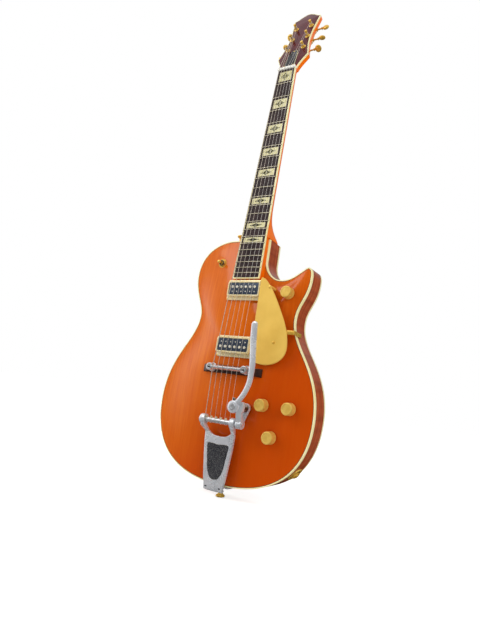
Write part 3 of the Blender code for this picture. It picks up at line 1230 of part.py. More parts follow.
def make_guard():
    left = GUARD_LEFT_X
    outline = bezier((left + 0.005, 0.0195), (left + 0.013, 0.0125), (0.0610, 0.0120), (0.0700, 0.0124), 3)
    outline += bezier((0.0700, 0.0124), (0.0890, 0.0140), (0.1050, 0.0250), (0.1052, 0.0430), 4)
    outline += bezier((0.1052, 0.0430), (0.1052, 0.0670), (0.0950, 0.0870), (0.0840, 0.1070), 4)
    outline += bezier((0.0840, 0.1070), (0.0720, 0.1300), (0.0560, 0.1560), (left + 0.0050, 0.1665), 4)
    outline += [(left + 0.0021, 0.1668), (left, 0.1300), (left, 0.0250)]
    back = GUARD_HEIGHT - GUARD_THICKNESS
    guard = slab("pickguard", outline, front(GUARD_HEIGHT), front(back), "satin_gold")
    spacers = []
    for x, z in GUARD_SCREWS:
        inside = (x, front(back + 0.001), z)
        spacers.append(rod("spacer", inside, (x, front(arch(x, z) + 0.0008), z), 0.0035, 10))
        spacers.append(rod("screw", inside, (x, front(GUARD_HEIGHT + 0.0008), z), 0.0026, 10))
    fuse(guard, *spacers)

    low_z, high_z = 0.0668, 0.0738
    rim = max(rim_x(low_z), rim_x(high_z)) + GAP
    inner = 0.0940
    top = back - GAP
    thick = 0.0015
    path = [(inner, top), (rim + 0.0040, top), (rim + 0.0040, top - 0.004), (rim + thick, -0.001),
            (rim + thick, -0.0150), (rim, -0.0150), (rim, 0.0), (rim + 0.0022, top - 0.0052),
            (rim + 0.0022, top - thick), (inner, top - thick)]
    extrude("pickguard_bracket", [(x, front(h), low_z) for x, h in path], (0, 0, high_z - low_z), "gold")


# Strings

def make_strings():
    for number, side, s in post_places():
        radius = STRING_DIAMETERS[number - 1] / 2
        share = string_share(number)
        bar_y = front(BAR_HEIGHT)
        reach = BAR_RADIUS + GAP + radius
        x = bar_string_x(number)
        rise = math.degrees(math.atan2(STRING_HEIGHT - BAR_HEIGHT - reach, -BAR_Z))
        points = []
        for i in range(WRAP_POINTS):
            turn = math.radians(WRAP_END - (WRAP_END + rise) * i / (WRAP_POINTS - 1))
            points.append(Vector((x, bar_y - reach * math.cos(turn), BAR_Z - reach * math.sin(turn))))
        points.append(Vector((share * BRIDGE_SPREAD / 2, front(STRING_HEIGHT), 0)))
        nut = NECK @ Vector((share * NUT_SPREAD / 2, -STRING_NUT_HEIGHT, NUT_LENGTH + GAP))
        points.append(nut)
        winding = POST_WAIST + GAP + radius
        pitch = 2 * radius + WINDING_CLEARANCE
        wound = []
        steps = WINDING_TURNS * CURL_POINTS
        for i in range(steps + 1):
            turn = 2 * math.pi * i / CURL_POINTS
            height = WINDING_START + radius + pitch * i / CURL_POINTS
            x = side * (POST_X - winding * math.cos(turn))
            wound.append(HEAD @ Vector((x, -height, s + winding * math.sin(turn))))
        least_gap("string_%d" % number, wound, radius, CURL_POINTS - 2)
        tube("string_%d" % number, points + wound, radius, "steel")


def clear_scene():
    for obj in list(bpy.data.objects):
        bpy.data.objects.remove(obj)


def make_frame(name, matrix):
    frame = bpy.data.objects.new(name, None)
    frame.matrix_world = matrix
    bpy.context.scene.collection.objects.link(frame)
    return frame


def main():
    clear_scene()
    make_materials()
    neck_frame = make_frame("neck_frame", NECK)
    head_frame = make_frame("head_frame", HEAD)
    make_body()
    make_neck(neck_frame, head_frame)
    make_fingerboard(neck_frame)
    make_machine_heads(head_frame)
    make_pickup("neck", NECK_PICKUP_Z, NECK_FLANGE_Z, NECK_FLANGE_HEIGHT, NECK_PICKUP_HEIGHT, 1)
    make_pickup("bridge", BRIDGE_PICKUP_Z, BRIDGE_FLANGE_Z, BRIDGE_FLANGE_HEIGHT, BRIDGE_PICKUP_HEIGHT, -1)
    make_bridge()
    make_vibrato()
    make_controls()
    strap_button("strap_button_tail", (0, TAIL_STRAP_Y, TAIL_Z - 2 * GAP - HINGE_PLATE_THICKNESS), (0, 0, -1))
    place, normal = rim_flat(SHOULDER_STRAP_X, SHOULDER_STRAP_Y, BASS_WAIST_Z, 2 * SHOULDER_Z)
    strap_button("strap_button_shoulder", place + normal * GAP, normal)
    make_guard()
    make_strings()


if __name__ == "__main__":
    main()
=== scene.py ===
import math
import bmesh
import bpy
from mathutils import Matrix, Vector


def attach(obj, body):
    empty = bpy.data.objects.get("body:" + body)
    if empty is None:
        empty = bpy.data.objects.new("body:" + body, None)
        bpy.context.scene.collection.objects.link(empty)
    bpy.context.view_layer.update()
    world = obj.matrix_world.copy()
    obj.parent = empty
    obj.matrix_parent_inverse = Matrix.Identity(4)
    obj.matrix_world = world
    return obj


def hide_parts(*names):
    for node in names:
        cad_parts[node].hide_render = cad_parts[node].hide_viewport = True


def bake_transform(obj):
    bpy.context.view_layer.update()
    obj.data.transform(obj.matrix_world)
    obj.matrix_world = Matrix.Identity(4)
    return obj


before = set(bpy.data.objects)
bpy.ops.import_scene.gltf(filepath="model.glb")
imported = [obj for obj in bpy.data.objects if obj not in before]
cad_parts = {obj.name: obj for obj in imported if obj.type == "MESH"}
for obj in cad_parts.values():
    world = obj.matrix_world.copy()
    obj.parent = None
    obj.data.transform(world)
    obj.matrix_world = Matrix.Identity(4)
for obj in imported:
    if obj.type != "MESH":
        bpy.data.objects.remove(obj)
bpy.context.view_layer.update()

# Places and sizes shared by the pieces, in metres: +X treble, +Y back, +Z up the neck
gap = 0.0003
bodyDepth = 0.0425
scaleLength = 0.6248
neckAngle = math.radians(3.65)
headAngle = math.radians(12.1)
frets = 22
pastLastFret = 0.0103
boardLength = scaleLength * (1 - 2 ** (-frets / 12)) + pastLastFret
boardThick = 0.0048
boardRadius = 0.305
boardEndHeight = 0.018
boardEndWidth = 0.0565
nutWidth, nutThick = 0.0402, 0.005
archHeight, archMiddle = 0.013, 0.020
nutSpread, bridgeSpread = 0.0335, 0.052
bridgePostX = 0.036
stringHeight = 0.0355
barHeight, barZ = 0.029, -0.0895
springX, springZ = 0.0425, -0.0627
handleX, handleZ = 0.034, -0.062
tunerX = 0.0185
toFront, toBack = (0, -1, 0), (0, 1, 0)


def front(height):
    return -(bodyDepth + height)


nutY = front(boardEndHeight) + math.sin(neckAngle) * boardLength
neckFrame = Matrix.Translation((0, nutY, scaleLength)) @ Matrix.Rotation(-neckAngle, 4, "X")
headFrame = (neckFrame @ Matrix.Translation((0, 0.0045, nutThick + gap))
             @ Matrix.Rotation(-headAngle, 4, "X"))


# Shader groups

def addNode(tree, kind, values=None, **settings):
    made = tree.nodes.new(kind)
    for key, value in settings.items():
        setattr(made, key, value)
    for key, value in (values or {}).items():
        made.inputs[key].default_value = value
    return made


def newGroup(name, inputs, outputs):
    tree = bpy.data.node_groups.new(name, "ShaderNodeTree")
    kinds = {"v": "NodeSocketVector", "c": "NodeSocketColor", "f": "NodeSocketFloat"}
    for label, kind, value in inputs:
        socket = tree.interface.new_socket(label, in_out="INPUT", socket_type=kinds[kind])
        if value is not None:
            socket.default_value = value
    for label, kind in outputs:
        tree.interface.new_socket(label, in_out="OUTPUT", socket_type=kinds[kind])
    return tree, tree.nodes.new("NodeGroupInput"), tree.nodes.new("NodeGroupOutput")


def mixColour(tree, share, low, high, blend="MIX"):
    mix = addNode(tree, "ShaderNodeMix", data_type="RGBA", blend_type=blend)
    for socket, source in ((mix.inputs[0], share), (mix.inputs[6], low), (mix.inputs[7], high)):
        if isinstance(source, (float, int, tuple)):
            socket.default_value = source
        else:
            tree.links.new(source, socket)
    return mix.outputs[2]


def spread(tree, source, low, high, toLow=0.0, toHigh=1.0):
    ranged = addNode(tree, "ShaderNodeMapRange", {1: low, 2: high, 3: toLow, 4: toHigh})
    tree.links.new(source, ranged.inputs[0])
    return ranged.outputs[0]


def noiseAt(tree, vector, scale, detail=3.0, rough=0.55, distort=0.0):
    noise = addNode(tree, "ShaderNodeTexNoise",
                    {"Scale": scale, "Detail": detail, "Roughness": rough, "Distortion": distort})
    tree.links.new(vector, noise.inputs["Vector"])
    return noise.outputs["Fac"]


def stretched(tree, vector, factors):
    scaled = addNode(tree, "ShaderNodeVectorMath", operation="MULTIPLY")
    tree.links.new(vector, scaled.inputs[0])
    if isinstance(factors, tuple):
        scaled.inputs[1].default_value = factors
    else:
        tree.links.new(factors, scaled.inputs[1])
    return scaled.outputs[0]


def makeGrainGroup():
    # long fibres with pores between them; Stretch is larger across the grain than along it
    tree, given, result = newGroup(
        "woodGrain",
        [("Vector", "v", None), ("Stretch", "v", (900, 900, 30)), ("Light", "c", (0.5, 0.2, 0.05, 1)),
         ("Dark", "c", (0.2, 0.08, 0.02, 1)), ("Blotch", "f", 0.4)],
        [("Color", "c"), ("Height", "f")])
    place = stretched(tree, given.outputs["Vector"], given.outputs["Stretch"])
    broad = noiseAt(tree, place, 0.25, 3.0, 0.6, 0.6)
    fine = noiseAt(tree, place, 1.0, 4.0, 0.65, 0.2)
    cloud = noiseAt(tree, given.outputs["Vector"], 16.0, 2.0, 0.5)
    mixed = addNode(tree, "ShaderNodeMix", {0: 0.45})
    tree.links.new(broad, mixed.inputs[2])
    tree.links.new(fine, mixed.inputs[3])
    lines = spread(tree, mixed.outputs[0], 0.36, 0.64)
    base = mixColour(tree, lines, given.outputs["Dark"], given.outputs["Light"])
    patch = addNode(tree, "ShaderNodeMath", operation="MULTIPLY")
    tree.links.new(spread(tree, cloud, 0.40, 0.72), patch.inputs[0])
    tree.links.new(given.outputs["Blotch"], patch.inputs[1])
    tree.links.new(mixColour(tree, patch.outputs[0], base, given.outputs["Dark"]), result.inputs["Color"])
    tree.links.new(fine, result.inputs["Height"])
    return tree


def makeHandlingGroup():
    # smudges and hair scratches of a handled surface, as a roughness and a height
    tree, given, result = newGroup(
        "handling",
        [("Vector", "v", None), ("Smudge Scale", "f", 60.0), ("Clean", "f", 0.2), ("Smudged", "f", 0.35)],
        [("Roughness", "f"), ("Height", "f")])
    smudge = addNode(tree, "ShaderNodeTexNoise", {"Detail": 4.0, "Roughness": 0.6, "Distortion": 0.4})
    tree.links.new(given.outputs["Vector"], smudge.inputs["Vector"])
    tree.links.new(given.outputs["Smudge Scale"], smudge.inputs["Scale"])
    mask = spread(tree, smudge.outputs["Fac"], 0.42, 0.70)
    rough = addNode(tree, "ShaderNodeMix")
    tree.links.new(mask, rough.inputs[0])
    tree.links.new(given.outputs["Clean"], rough.inputs[2])
    tree.links.new(given.outputs["Smudged"], rough.inputs[3])
    lines = noiseAt(tree, stretched(tree, given.outputs["Vector"], (2600, 2600, 160)), 1.0, 2.0, 0.5)
    tree.links.new(rough.outputs[0], result.inputs["Roughness"])
    tree.links.new(lines, result.inputs["Height"])
    return tree


def makePearlGroup():
    # clouded layers of pearl or cellulose
    tree, given, result = newGroup(
        "pearlClouds",
        [("Vector", "v", None), ("Scale", "f", 180.0), ("Light", "c", (0.9, 0.85, 0.6, 1)),
         ("Deep", "c", (0.6, 0.55, 0.35, 1))],
        [("Color", "c"), ("Height", "f")])
    cloud = addNode(tree, "ShaderNodeTexNoise", {"Detail": 3.0, "Roughness": 0.5, "Distortion": 2.2})
    tree.links.new(given.outputs["Vector"], cloud.inputs["Vector"])
    tree.links.new(given.outputs["Scale"], cloud.inputs["Scale"])
    share = spread(tree, cloud.outputs["Fac"], 0.35, 0.65)
    colour = mixColour(tree, share, given.outputs["Deep"], given.outputs["Light"])
    tree.links.new(colour, result.inputs["Color"])
    tree.links.new(cloud.outputs["Fac"], result.inputs["Height"])
    return tree


grainGroup = makeGrainGroup()
handlingGroup = makeHandlingGroup()
pearlGroup = makePearlGroup()


# Materials

def startMaterial(name, settings):
    material = bpy.data.materials.new(name)
    material.use_nodes = True
    tree = material.node_tree
    shader = tree.nodes["Principled BSDF"]
    for key, value in settings.items():
        shader.inputs[key].default_value = value
    where = tree.nodes.new("ShaderNodeTexCoord")
    return material, tree, shader, where


def placeGroup(tree, group, vector, values):
    made = tree.nodes.new("ShaderNodeGroup")
    made.node_tree = group
    tree.links.new(vector, made.inputs["Vector"])
    for key, value in values.items():
        made.inputs[key].default_value = value
    return made


def addHandling(tree, vector, values):
    # values: the smudges' scale, and the roughness where it is clean and where it is smudged
    return placeGroup(tree, handlingGroup, vector, dict(zip(("Smudge Scale", "Clean", "Smudged"), values)))


def addBump(tree, shader, height, distance):
    bump = addNode(tree, "ShaderNodeBump", {"Strength": 1.0, "Distance": distance})
    tree.links.new(height, bump.inputs["Height"])
    tree.links.new(bump.outputs[0], shader.inputs["Normal"])


def woodMaterial(name, look):
    material, tree, shader, where = startMaterial(name, look["shader"])
    grain = placeGroup(tree, grainGroup, where.outputs["Object"], look["grain"])
    care = addHandling(tree, where.outputs["Object"], look["handling"])
    colour = grain.outputs["Color"]
    if "across" in look:
        # the rim's grain runs round the body, and the flat back's runs along it
        flat = placeGroup(tree, grainGroup, where.outputs["Object"], look["across"])
        parts = addNode(tree, "ShaderNodeSeparateXYZ")
        tree.links.new(where.outputs["Object"], parts.inputs[0])
        share = spread(tree, parts.outputs[1], -0.0014, -0.0006)
        colour = mixColour(tree, share, colour, flat.outputs["Color"])
    if "bands" in look:
        # faint darker figure across the grain
        place = stretched(tree, where.outputs["Object"], look["bands"]["stretch"])
        bands = noiseAt(tree, place, 1.0, 2.0, 0.5)
        share = spread(tree, bands, 0.45, 0.75, 0.0, look["bands"]["amount"])
        colour = mixColour(tree, share, colour, look["bands"]["colour"])
    if "paintedShade" in look:
        # painted shade: the top's colour darkens from the bass side of the top to the treble side, standing
        # in for the darker room that its lacquer reflects there
        across = addNode(tree, "ShaderNodeVectorMath", {1: look["paintedShade"]["axis"]}, operation="DOT_PRODUCT")
        tree.links.new(where.outputs["Object"], across.inputs[0])
        share = spread(tree, across.outputs["Value"], look["paintedShade"]["from"], look["paintedShade"]["to"],
                       0.0, look["paintedShade"]["amount"])
        colour = mixColour(tree, share, colour, look["paintedShade"]["colour"])
    tree.links.new(colour, shader.inputs["Base Color"])
    tree.links.new(care.outputs["Roughness"], shader.inputs["Roughness"])
    addBump(tree, shader, grain.outputs["Height"], look["bump"])
    return material


def plainMaterial(name, look):
    # metal, plastic and bone: two near colours clouded together, handled roughness, slight relief
    material, tree, shader, where = startMaterial(name, look["shader"])
    care = addHandling(tree, where.outputs["Object"], look["handling"])
    cloud = noiseAt(tree, where.outputs["Object"], look["cloud"], 3.0, 0.6)
    colour = mixColour(tree, spread(tree, cloud, 0.38, 0.66), look["colour"], look["other"])
    tree.links.new(colour, shader.inputs["Base Color"])
    tree.links.new(care.outputs["Roughness"], shader.inputs["Roughness"])
    addBump(tree, shader, care.outputs["Height"], look["bump"])
    return material


def pearlMaterial(name, look):
    material, tree, shader, where = startMaterial(name, look["shader"])
    pearl = placeGroup(tree, pearlGroup, where.outputs["Object"], look["pearl"])
    care = addHandling(tree, where.outputs["Object"], look["handling"])
    tree.links.new(pearl.outputs["Color"], shader.inputs["Base Color"])
    tree.links.new(care.outputs["Roughness"], shader.inputs["Roughness"])
    addBump(tree, shader, pearl.outputs["Height"], look["bump"])
    return material


def rgb(red, green, blue):
    # screen colour, 0 to 255, to the linear colour that a shader takes
    def linear(value):
        value /= 255
        return value / 12.92 if value <= 0.04045 else ((value + 0.055) / 1.055) ** 2.4
    return (linear(red), linear(green), linear(blue), 1)


topLook = {
    "shader": {"IOR": 1.45},
    "grain": {"Stretch": (620, 200, 26), "Light": rgb(224, 116, 26), "Dark": rgb(208, 94, 13),
              "Blotch": 0.45},
    "handling": (14.0, 0.06, 0.11),
    # painted shade: the top darkens towards the treble side
    "paintedShade": {"axis": (1.0, 0.0, -0.75), "from": -0.09, "to": 0.09, "amount": 0.85,
             "colour": rgb(192, 66, 4)},
    "bump": 0.00001,
}
neckLook = {
    "shader": {"IOR": 1.4},
    "grain": {"Stretch": (900, 900, 34), "Light": rgb(255, 128, 8), "Dark": rgb(250, 106, 0), "Blotch": 0.3},
    "handling": (30.0, 0.16, 0.26),
    "bump": 0.00001,
}
rimLook = {
    "shader": {"IOR": 1.38},
    "grain": {"Stretch": (50, 1100, 50), "Light": rgb(196, 98, 58), "Dark": rgb(146, 62, 34), "Blotch": 0.25},
    "across": {"Stretch": (700, 60, 40), "Light": rgb(178, 86, 50), "Dark": rgb(130, 55, 32), "Blotch": 0.4},
    "handling": (22.0, 0.14, 0.24),
    "bands": {"stretch": (95, 8, 95), "amount": 0.45, "colour": rgb(104, 46, 30)},
    "bump": 0.00002,
}
boardLook = {
    "shader": {"IOR": 1.3},
    "grain": {"Stretch": (1500, 1500, 60), "Light": rgb(66, 46, 46), "Dark": rgb(30, 20, 22), "Blotch": 0.4},
    "handling": (60.0, 0.45, 0.6),
    "bump": 0.00004,
}
bridgeLook = {
    "shader": {"IOR": 1.45},
    "grain": {"Stretch": (60, 1500, 1500), "Light": rgb(72, 42, 32), "Dark": rgb(34, 20, 17), "Blotch": 0.4},
    "handling": (60.0, 0.32, 0.45),
    "bump": 0.00004,
}
creamLook = {
    "shader": {"IOR": 1.45, "Coat Weight": 0.25, "Coat Roughness": 0.08},
    "colour": rgb(255, 247, 196), "other": rgb(246, 232, 168), "cloud": 30.0,
    "handling": (70.0, 0.28, 0.4),
    "bump": 0.000006,
}
goldLook = {
    "shader": {"Metallic": 0.5},
    "colour": rgb(252, 206, 98), "other": rgb(238, 186, 72), "cloud": 90.0,
    "handling": (160.0, 0.20, 0.36),
    "bump": 0.000006,
}
knobLook = {
    "shader": {"Metallic": 0.4},
    "colour": rgb(246, 206, 104), "other": rgb(232, 188, 84), "cloud": 120.0,
    "handling": (200.0, 0.40, 0.55),
    "bump": 0.00001,
}
# a pale, nearly white copy of the gold for the pickup frames, flanges and ball ends: painted reflection of
# the white around them
paintedReflectionGoldLook = {
    "shader": {"Metallic": 0.45},
    "colour": rgb(255, 240, 196), "other": rgb(250, 224, 160), "cloud": 60.0,
    "handling": (120.0, 0.22, 0.34),
    "bump": 0.000005,
}
guardLook = {
    "shader": {"Metallic": 0.2, "IOR": 1.45},
    "colour": rgb(240, 198, 92), "other": rgb(230, 186, 80), "cloud": 22.0,
    "handling": (26.0, 0.46, 0.6),
    "bump": 0.000008,
}
castLook = {
    "shader": {"Metallic": 0.5, "IOR": 1.5},
    "colour": rgb(236, 238, 242), "other": rgb(214, 218, 224), "cloud": 40.0,
    "handling": (50.0, 0.22, 0.34),
    "bump": 0.00001,
}
chromeLook = {
    "shader": {"Metallic": 0.7, "IOR": 1.5},
    "colour": rgb(244, 245, 248), "other": rgb(226, 228, 232), "cloud": 90.0,
    "handling": (140.0, 0.10, 0.2),
    "bump": 0.000003,
}
fretLook = {
    "shader": {"Metallic": 1.0},
    "colour": rgb(232, 222, 196), "other": rgb(206, 196, 168), "cloud": 300.0,
    "handling": (260.0, 0.2, 0.34),
    "bump": 0.000003,
}
blackLook = {
    "shader": {"IOR": 1.45},
    "colour": rgb(40, 42, 50), "other": rgb(30, 31, 37), "cloud": 140.0,
    "handling": (120.0, 0.28, 0.42),
    "bump": 0.00001,
}
coilLook = {
    "shader": {"IOR": 1.45, "Metallic": 0.35},
    "colour": rgb(74, 84, 102), "other": rgb(40, 46, 58), "cloud": 900.0,
    "handling": (400.0, 0.24, 0.45),
    "bump": 0.00005,
}
plumLook = {
    "shader": {"IOR": 1.3},
    "colour": rgb(98, 38, 46), "other": rgb(80, 28, 36), "cloud": 35.0,
    "handling": (30.0, 0.12, 0.2),
    "bump": 0.000005,
}
boneLook = {
    "shader": {"IOR": 1.5},
    "colour": rgb(246, 246, 240), "other": rgb(236, 232, 218), "cloud": 250.0,
    "handling": (200.0, 0.3, 0.42),
    "bump": 0.00001,
}
inlayLook = {
    "shader": {"IOR": 1.5, "Coat Weight": 0.4, "Coat Roughness": 0.06},
    "pearl": {"Scale": 240.0, "Light": rgb(222, 214, 158), "Deep": rgb(188, 178, 118)},
    "handling": (150.0, 0.2, 0.3),
    "bump": 0.00001,
}
lineLook = {
    "shader": {"IOR": 1.45},
    "colour": rgb(34, 40, 30), "other": rgb(26, 28, 22), "cloud": 120.0,
    "handling": (100.0, 0.3, 0.45),
    "bump": 0.000005,
}
stringLook = {
    "shader": {"Metallic": 0.5, "IOR": 1.5},
    "colour": rgb(236, 232, 224), "other": rgb(214, 208, 198), "cloud": 600.0,
    "handling": (300.0, 0.3, 0.42),
    "bump": 0.000002,
}
# the pole pieces are near white, paler than their metal, to stand in for the glints on their tops: painted
# highlight
poleGlintLook = {
    "shader": {"Metallic": 0.35},
    "colour": rgb(255, 252, 240), "other": rgb(244, 234, 206), "cloud": 400.0,
    "handling": (300.0, 0.2, 0.34),
    "bump": 0.000003,
}
steelLook = {
    "shader": {"Metallic": 1.0},
    "colour": rgb(214, 212, 208), "other": rgb(190, 186, 180), "cloud": 500.0,
    "handling": (400.0, 0.22, 0.36),
    "bump": 0.000003,
}

finishes = {
    "top": woodMaterial("orangeLacquerTop", topLook),
    "neck": woodMaterial("orangeLacquerNeck", neckLook),
    "rim": woodMaterial("redBrownMahogany", rimLook),
    "board": woodMaterial("darkRosewood", boardLook),
    "bridge": woodMaterial("bridgeRosewood", bridgeLook),
    "cream": plainMaterial("creamBinding", creamLook),
    "gold": plainMaterial("goldPlate", goldLook),
    "knob": plainMaterial("brushedGoldKnob", knobLook),
    "paintedReflectionGold": plainMaterial("paintedReflectionGoldPlate", paintedReflectionGoldLook),
    "guard": plainMaterial("satinGoldGuard", guardLook),
    "cast": plainMaterial("polishedCasting", castLook),
    "chrome": plainMaterial("chromePlate", chromeLook),
    "fret": plainMaterial("fretWire", fretLook),
    "black": plainMaterial("satinBlack", blackLook),
    "coil": plainMaterial("blueBlackFace", coilLook),
    "plum": plainMaterial("plumLacquer", plumLook),
    "bone": plainMaterial("whiteBone", boneLook),
    "inlay": pearlMaterial("creamPearl", inlayLook),
    "line": plainMaterial("darkPurfling", lineLook),
    "steel": plainMaterial("brightSteel", steelLook),
    "string": plainMaterial("plainString", stringLook),
    "pole": plainMaterial("poleWithPaintedGlint", poleGlintLook),
}


# painted shade in the grooves and painted highlight on the crests of the wrap
woundLook = {"shader": {"Metallic": 0.55}, "handling": (90.0, 0.24, 0.4), "wrap": 0.00032,
             "paintedGrooveShade": rgb(178, 166, 150), "crest": rgb(240, 230, 214), "bump": 0.00005}


def woundMaterial(name, look):
    # wrapped string: the wrap follows the distance along the string, kept as an attribute; the grooves
    # between turns are painted darker (painted shade) and the crests lighter (painted highlight)
    material, tree, shader, where = startMaterial(name, look["shader"])
    care = addHandling(tree, where.outputs["Object"], look["handling"])
    along = addNode(tree, "ShaderNodeAttribute", attribute_name="alongString")
    turns = addNode(tree, "ShaderNodeMath", {1: 2 * math.pi / look["wrap"]}, operation="MULTIPLY")
    tree.links.new(along.outputs["Fac"], turns.inputs[0])
    wave = addNode(tree, "ShaderNodeMath", operation="SINE")
    tree.links.new(turns.outputs[0], wave.inputs[0])
    share = spread(tree, wave.outputs[0], -1.0, 1.0)
    tree.links.new(mixColour(tree, share, look["paintedGrooveShade"], look["crest"]), shader.inputs["Base Color"])
    tree.links.new(care.outputs["Roughness"], shader.inputs["Roughness"])
    addBump(tree, shader, share, look["bump"])
    return material


finishes["wound"] = woundMaterial("wrappedString", woundLook)
print("materials:", len(finishes))


# Mesh tools

def smoothBy(mesh, angle):
    mesh.shade_smooth()
    mesh.set_sharp_from_angle(angle=math.radians(angle))


def addObject(name, data):
    made = bpy.data.objects.new(name, data)
    bpy.context.scene.collection.objects.link(made)
    return made


def newPiece(name, mesh, finish, body="guitar", replaced=()):
    piece = addObject(name, mesh)
    mesh.materials.clear()
    mesh.materials.append(finishes[finish])
    if body:
        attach(piece, body)
    if replaced:
        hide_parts(*replaced)
    return piece


def meshOf(bm, name, angle=40, matrix=None):
    if matrix is not None:
        bmesh.ops.transform(bm, matrix=matrix, verts=bm.verts)
    bmesh.ops.recalc_face_normals(bm, faces=bm.faces)
    mesh = bpy.data.meshes.new(name)
    bm.to_mesh(mesh)
    bm.free()
    smoothBy(mesh, angle)
    return mesh


def formPiece(name, bm, angle, finish, body="guitar", replaced=(), matrix=None):
    return newPiece(name, meshOf(bm, name, angle, matrix), finish, body, replaced)


def addLoft(bm, rings, closed=False):
    # rings of equal count joined into a skin, with flat ends or, when closed, with none
    loops = [[bm.verts.new(point) for point in ring] for ring in rings]
    pairs = list(zip(loops, loops[1:]))
    if closed:
        pairs.append((loops[-1], loops[0]))
    for one, other in pairs:
        for i in range(len(one)):
            j = (i + 1) % len(one)
            bm.faces.new((one[i], one[j], other[j], other[i]))
    if not closed:
        bm.faces.new(loops[0])
        bm.faces.new(loops[-1])


def allRound(axis, sides):
    # unit vectors all round an axis
    across = axis.orthogonal().normalized()
    other = axis.cross(across)
    turns = [2 * math.pi * i / sides for i in range(sides)]
    return [across * math.cos(turn) + other * math.sin(turn) for turn in turns]


def addLathe(bm, base, axis, profile, sides=48, closed=False):
    # profile: (radius, distance along the axis); radius 0 only at an end
    base, axis = Vector(base), Vector(axis).normalized()
    spokes = allRound(axis, sides)
    loops = []
    for radius, distance in profile:
        centre = base + axis * distance
        loops.append([bm.verts.new(centre + radius * spoke) for spoke in (spokes if radius else spokes[:1])])
    pairs = list(zip(loops, loops[1:]))
    if closed:
        pairs.append((loops[-1], loops[0]))
    for one, two in pairs:
        for i in range(sides):
            j = (i + 1) % sides
            corners = [one[i % len(one)], one[j % len(one)], two[j % len(two)], two[i % len(two)]]
            bm.faces.new(list(dict.fromkeys(corners)))
    if not closed:
        for end in (loops[0], loops[-1]):
            if len(end) > 1:
                bm.faces.new(end)


def curve(start, handle, otherHandle, end, count):
    # a Bezier curve without its last point
    points = []
    for i in range(count):
        t = i / count
        weights = ((1 - t) ** 3, 3 * (1 - t) ** 2 * t, 3 * (1 - t) * t * t, t ** 3)
        points.append(tuple(sum(w * c[k] for w, c in zip(weights, (start, handle, otherHandle, end)))
                            for k in (0, 1)))
    return points


def inset(outline, distance):
    # an outline moved inwards, each corner along the middle of its two sides
    moved = []
    for i, here in enumerate(outline):
        before, after = Vector(outline[i - 1]), Vector(outline[(i + 1) % len(outline)])
        here = Vector(here)
        into, away = (here - before).normalized(), (after - here).normalized()
        normalIn, normalOut = Vector((-into.y, into.x)), Vector((-away.y, away.x))
        middle = (normalIn + normalOut).normalized()
        moved.append(tuple(here + middle * distance / middle.dot(normalIn)))
    return moved


def rounded(low, high, radius, count=8):
    # a rectangle with round corners
    points = []
    for cx, cz, first in ((high[0] - radius, low[1] + radius, -90), (high[0] - radius, high[1] - radius, 0),
                          (low[0] + radius, high[1] - radius, 90), (low[0] + radius, low[1] + radius, 180)):
        for i in range(count + 1):
            turn = math.radians(first + 90 * i / count)
            points.append((cx + radius * math.cos(turn), cz + radius * math.sin(turn)))
    return points


def quarterTurns(steps):
    # turns from nothing to a right angle
    return [math.pi / 2 * k / steps for k in range(steps + 1)]


def pushed(value, power):
    # a sine or cosine pushed towards 1, which makes a circle squarer
    return math.copysign(abs(value) ** power, value)


def smoothStep(share):
    return share * share * (3 - 2 * share)


def addPlate(bm, outline, yFront, yBack, edge=0.0):
    # a flat plate of (x, z) points with its front edge eased by a small bevel
    rings = [[(x, yBack, z) for x, z in outline]]
    if edge:
        for turn in quarterTurns(3):
            rings.append([(x, yFront + edge * (1 - math.sin(turn)), z)
                          for x, z in inset(outline, edge * (1 - math.cos(turn)))])
    else:
        rings.append([(x, yFront, z) for x, z in outline])
    addLoft(bm, rings)


def evaluated(obj):
    graph = bpy.context.evaluated_depsgraph_get()
    mesh = bpy.data.meshes.new_from_object(obj.evaluated_get(graph))
    obj.modifiers.clear()
    return mesh


def cadCopy(node):
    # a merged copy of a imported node's loose triangles
    bm = bmesh.new()
    bm.from_mesh(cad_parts[node].data)
    bmesh.ops.remove_doubles(bm, verts=bm.verts, dist=0.000002)
    mesh = bpy.data.meshes.new(node)
    bm.to_mesh(mesh)
    bm.free()
    return addObject("working", mesh)


def easedPiece(name, node, finish, width):
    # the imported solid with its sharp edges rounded
    copy = cadCopy(node)
    bm = bmesh.new()
    bm.from_mesh(copy.data)
    bmesh.ops.dissolve_limit(bm, angle_limit=math.radians(0.6), verts=bm.verts, edges=bm.edges,
                             delimit={"NORMAL"})
    bm.to_mesh(copy.data)
    bm.free()
    bevel = copy.modifiers.new("ease", "BEVEL")
    bevel.width = width
    bevel.segments = 2
    bevel.limit_method = "ANGLE"
    bevel.angle_limit = math.radians(50)
    mesh = evaluated(copy)
    bpy.data.objects.remove(copy)
    smoothBy(mesh, 34)
    return newPiece(name, mesh, finish, replaced=(node,))


# Repeated items and things that follow a path, by Geometry Nodes

def newGeometryTree(name, inputs):
    tree = bpy.data.node_groups.new(name, "GeometryNodeTree")
    for label, kind, value in inputs:
        socket = tree.interface.new_socket(label, in_out="INPUT", socket_type="NodeSocket" + kind)
        if value is not None:
            socket.default_value = value
    tree.interface.new_socket("Finish", in_out="INPUT", socket_type="NodeSocketMaterial")
    tree.interface.new_socket("Made", in_out="OUTPUT", socket_type="NodeSocketGeometry")
    return tree, tree.nodes.new("NodeGroupInput"), tree.nodes.new("NodeGroupOutput")


def finishTree(tree, shape, given, result):
    # real geometry with its material, at the end of a tree
    real = tree.nodes.new("GeometryNodeRealizeInstances")
    paint = tree.nodes.new("GeometryNodeSetMaterial")
    tree.links.new(shape, real.inputs["Geometry"])
    tree.links.new(real.outputs["Geometry"], paint.inputs["Geometry"])
    tree.links.new(given.outputs["Finish"], paint.inputs["Material"])
    tree.links.new(paint.outputs["Geometry"], result.inputs["Made"])
    return tree


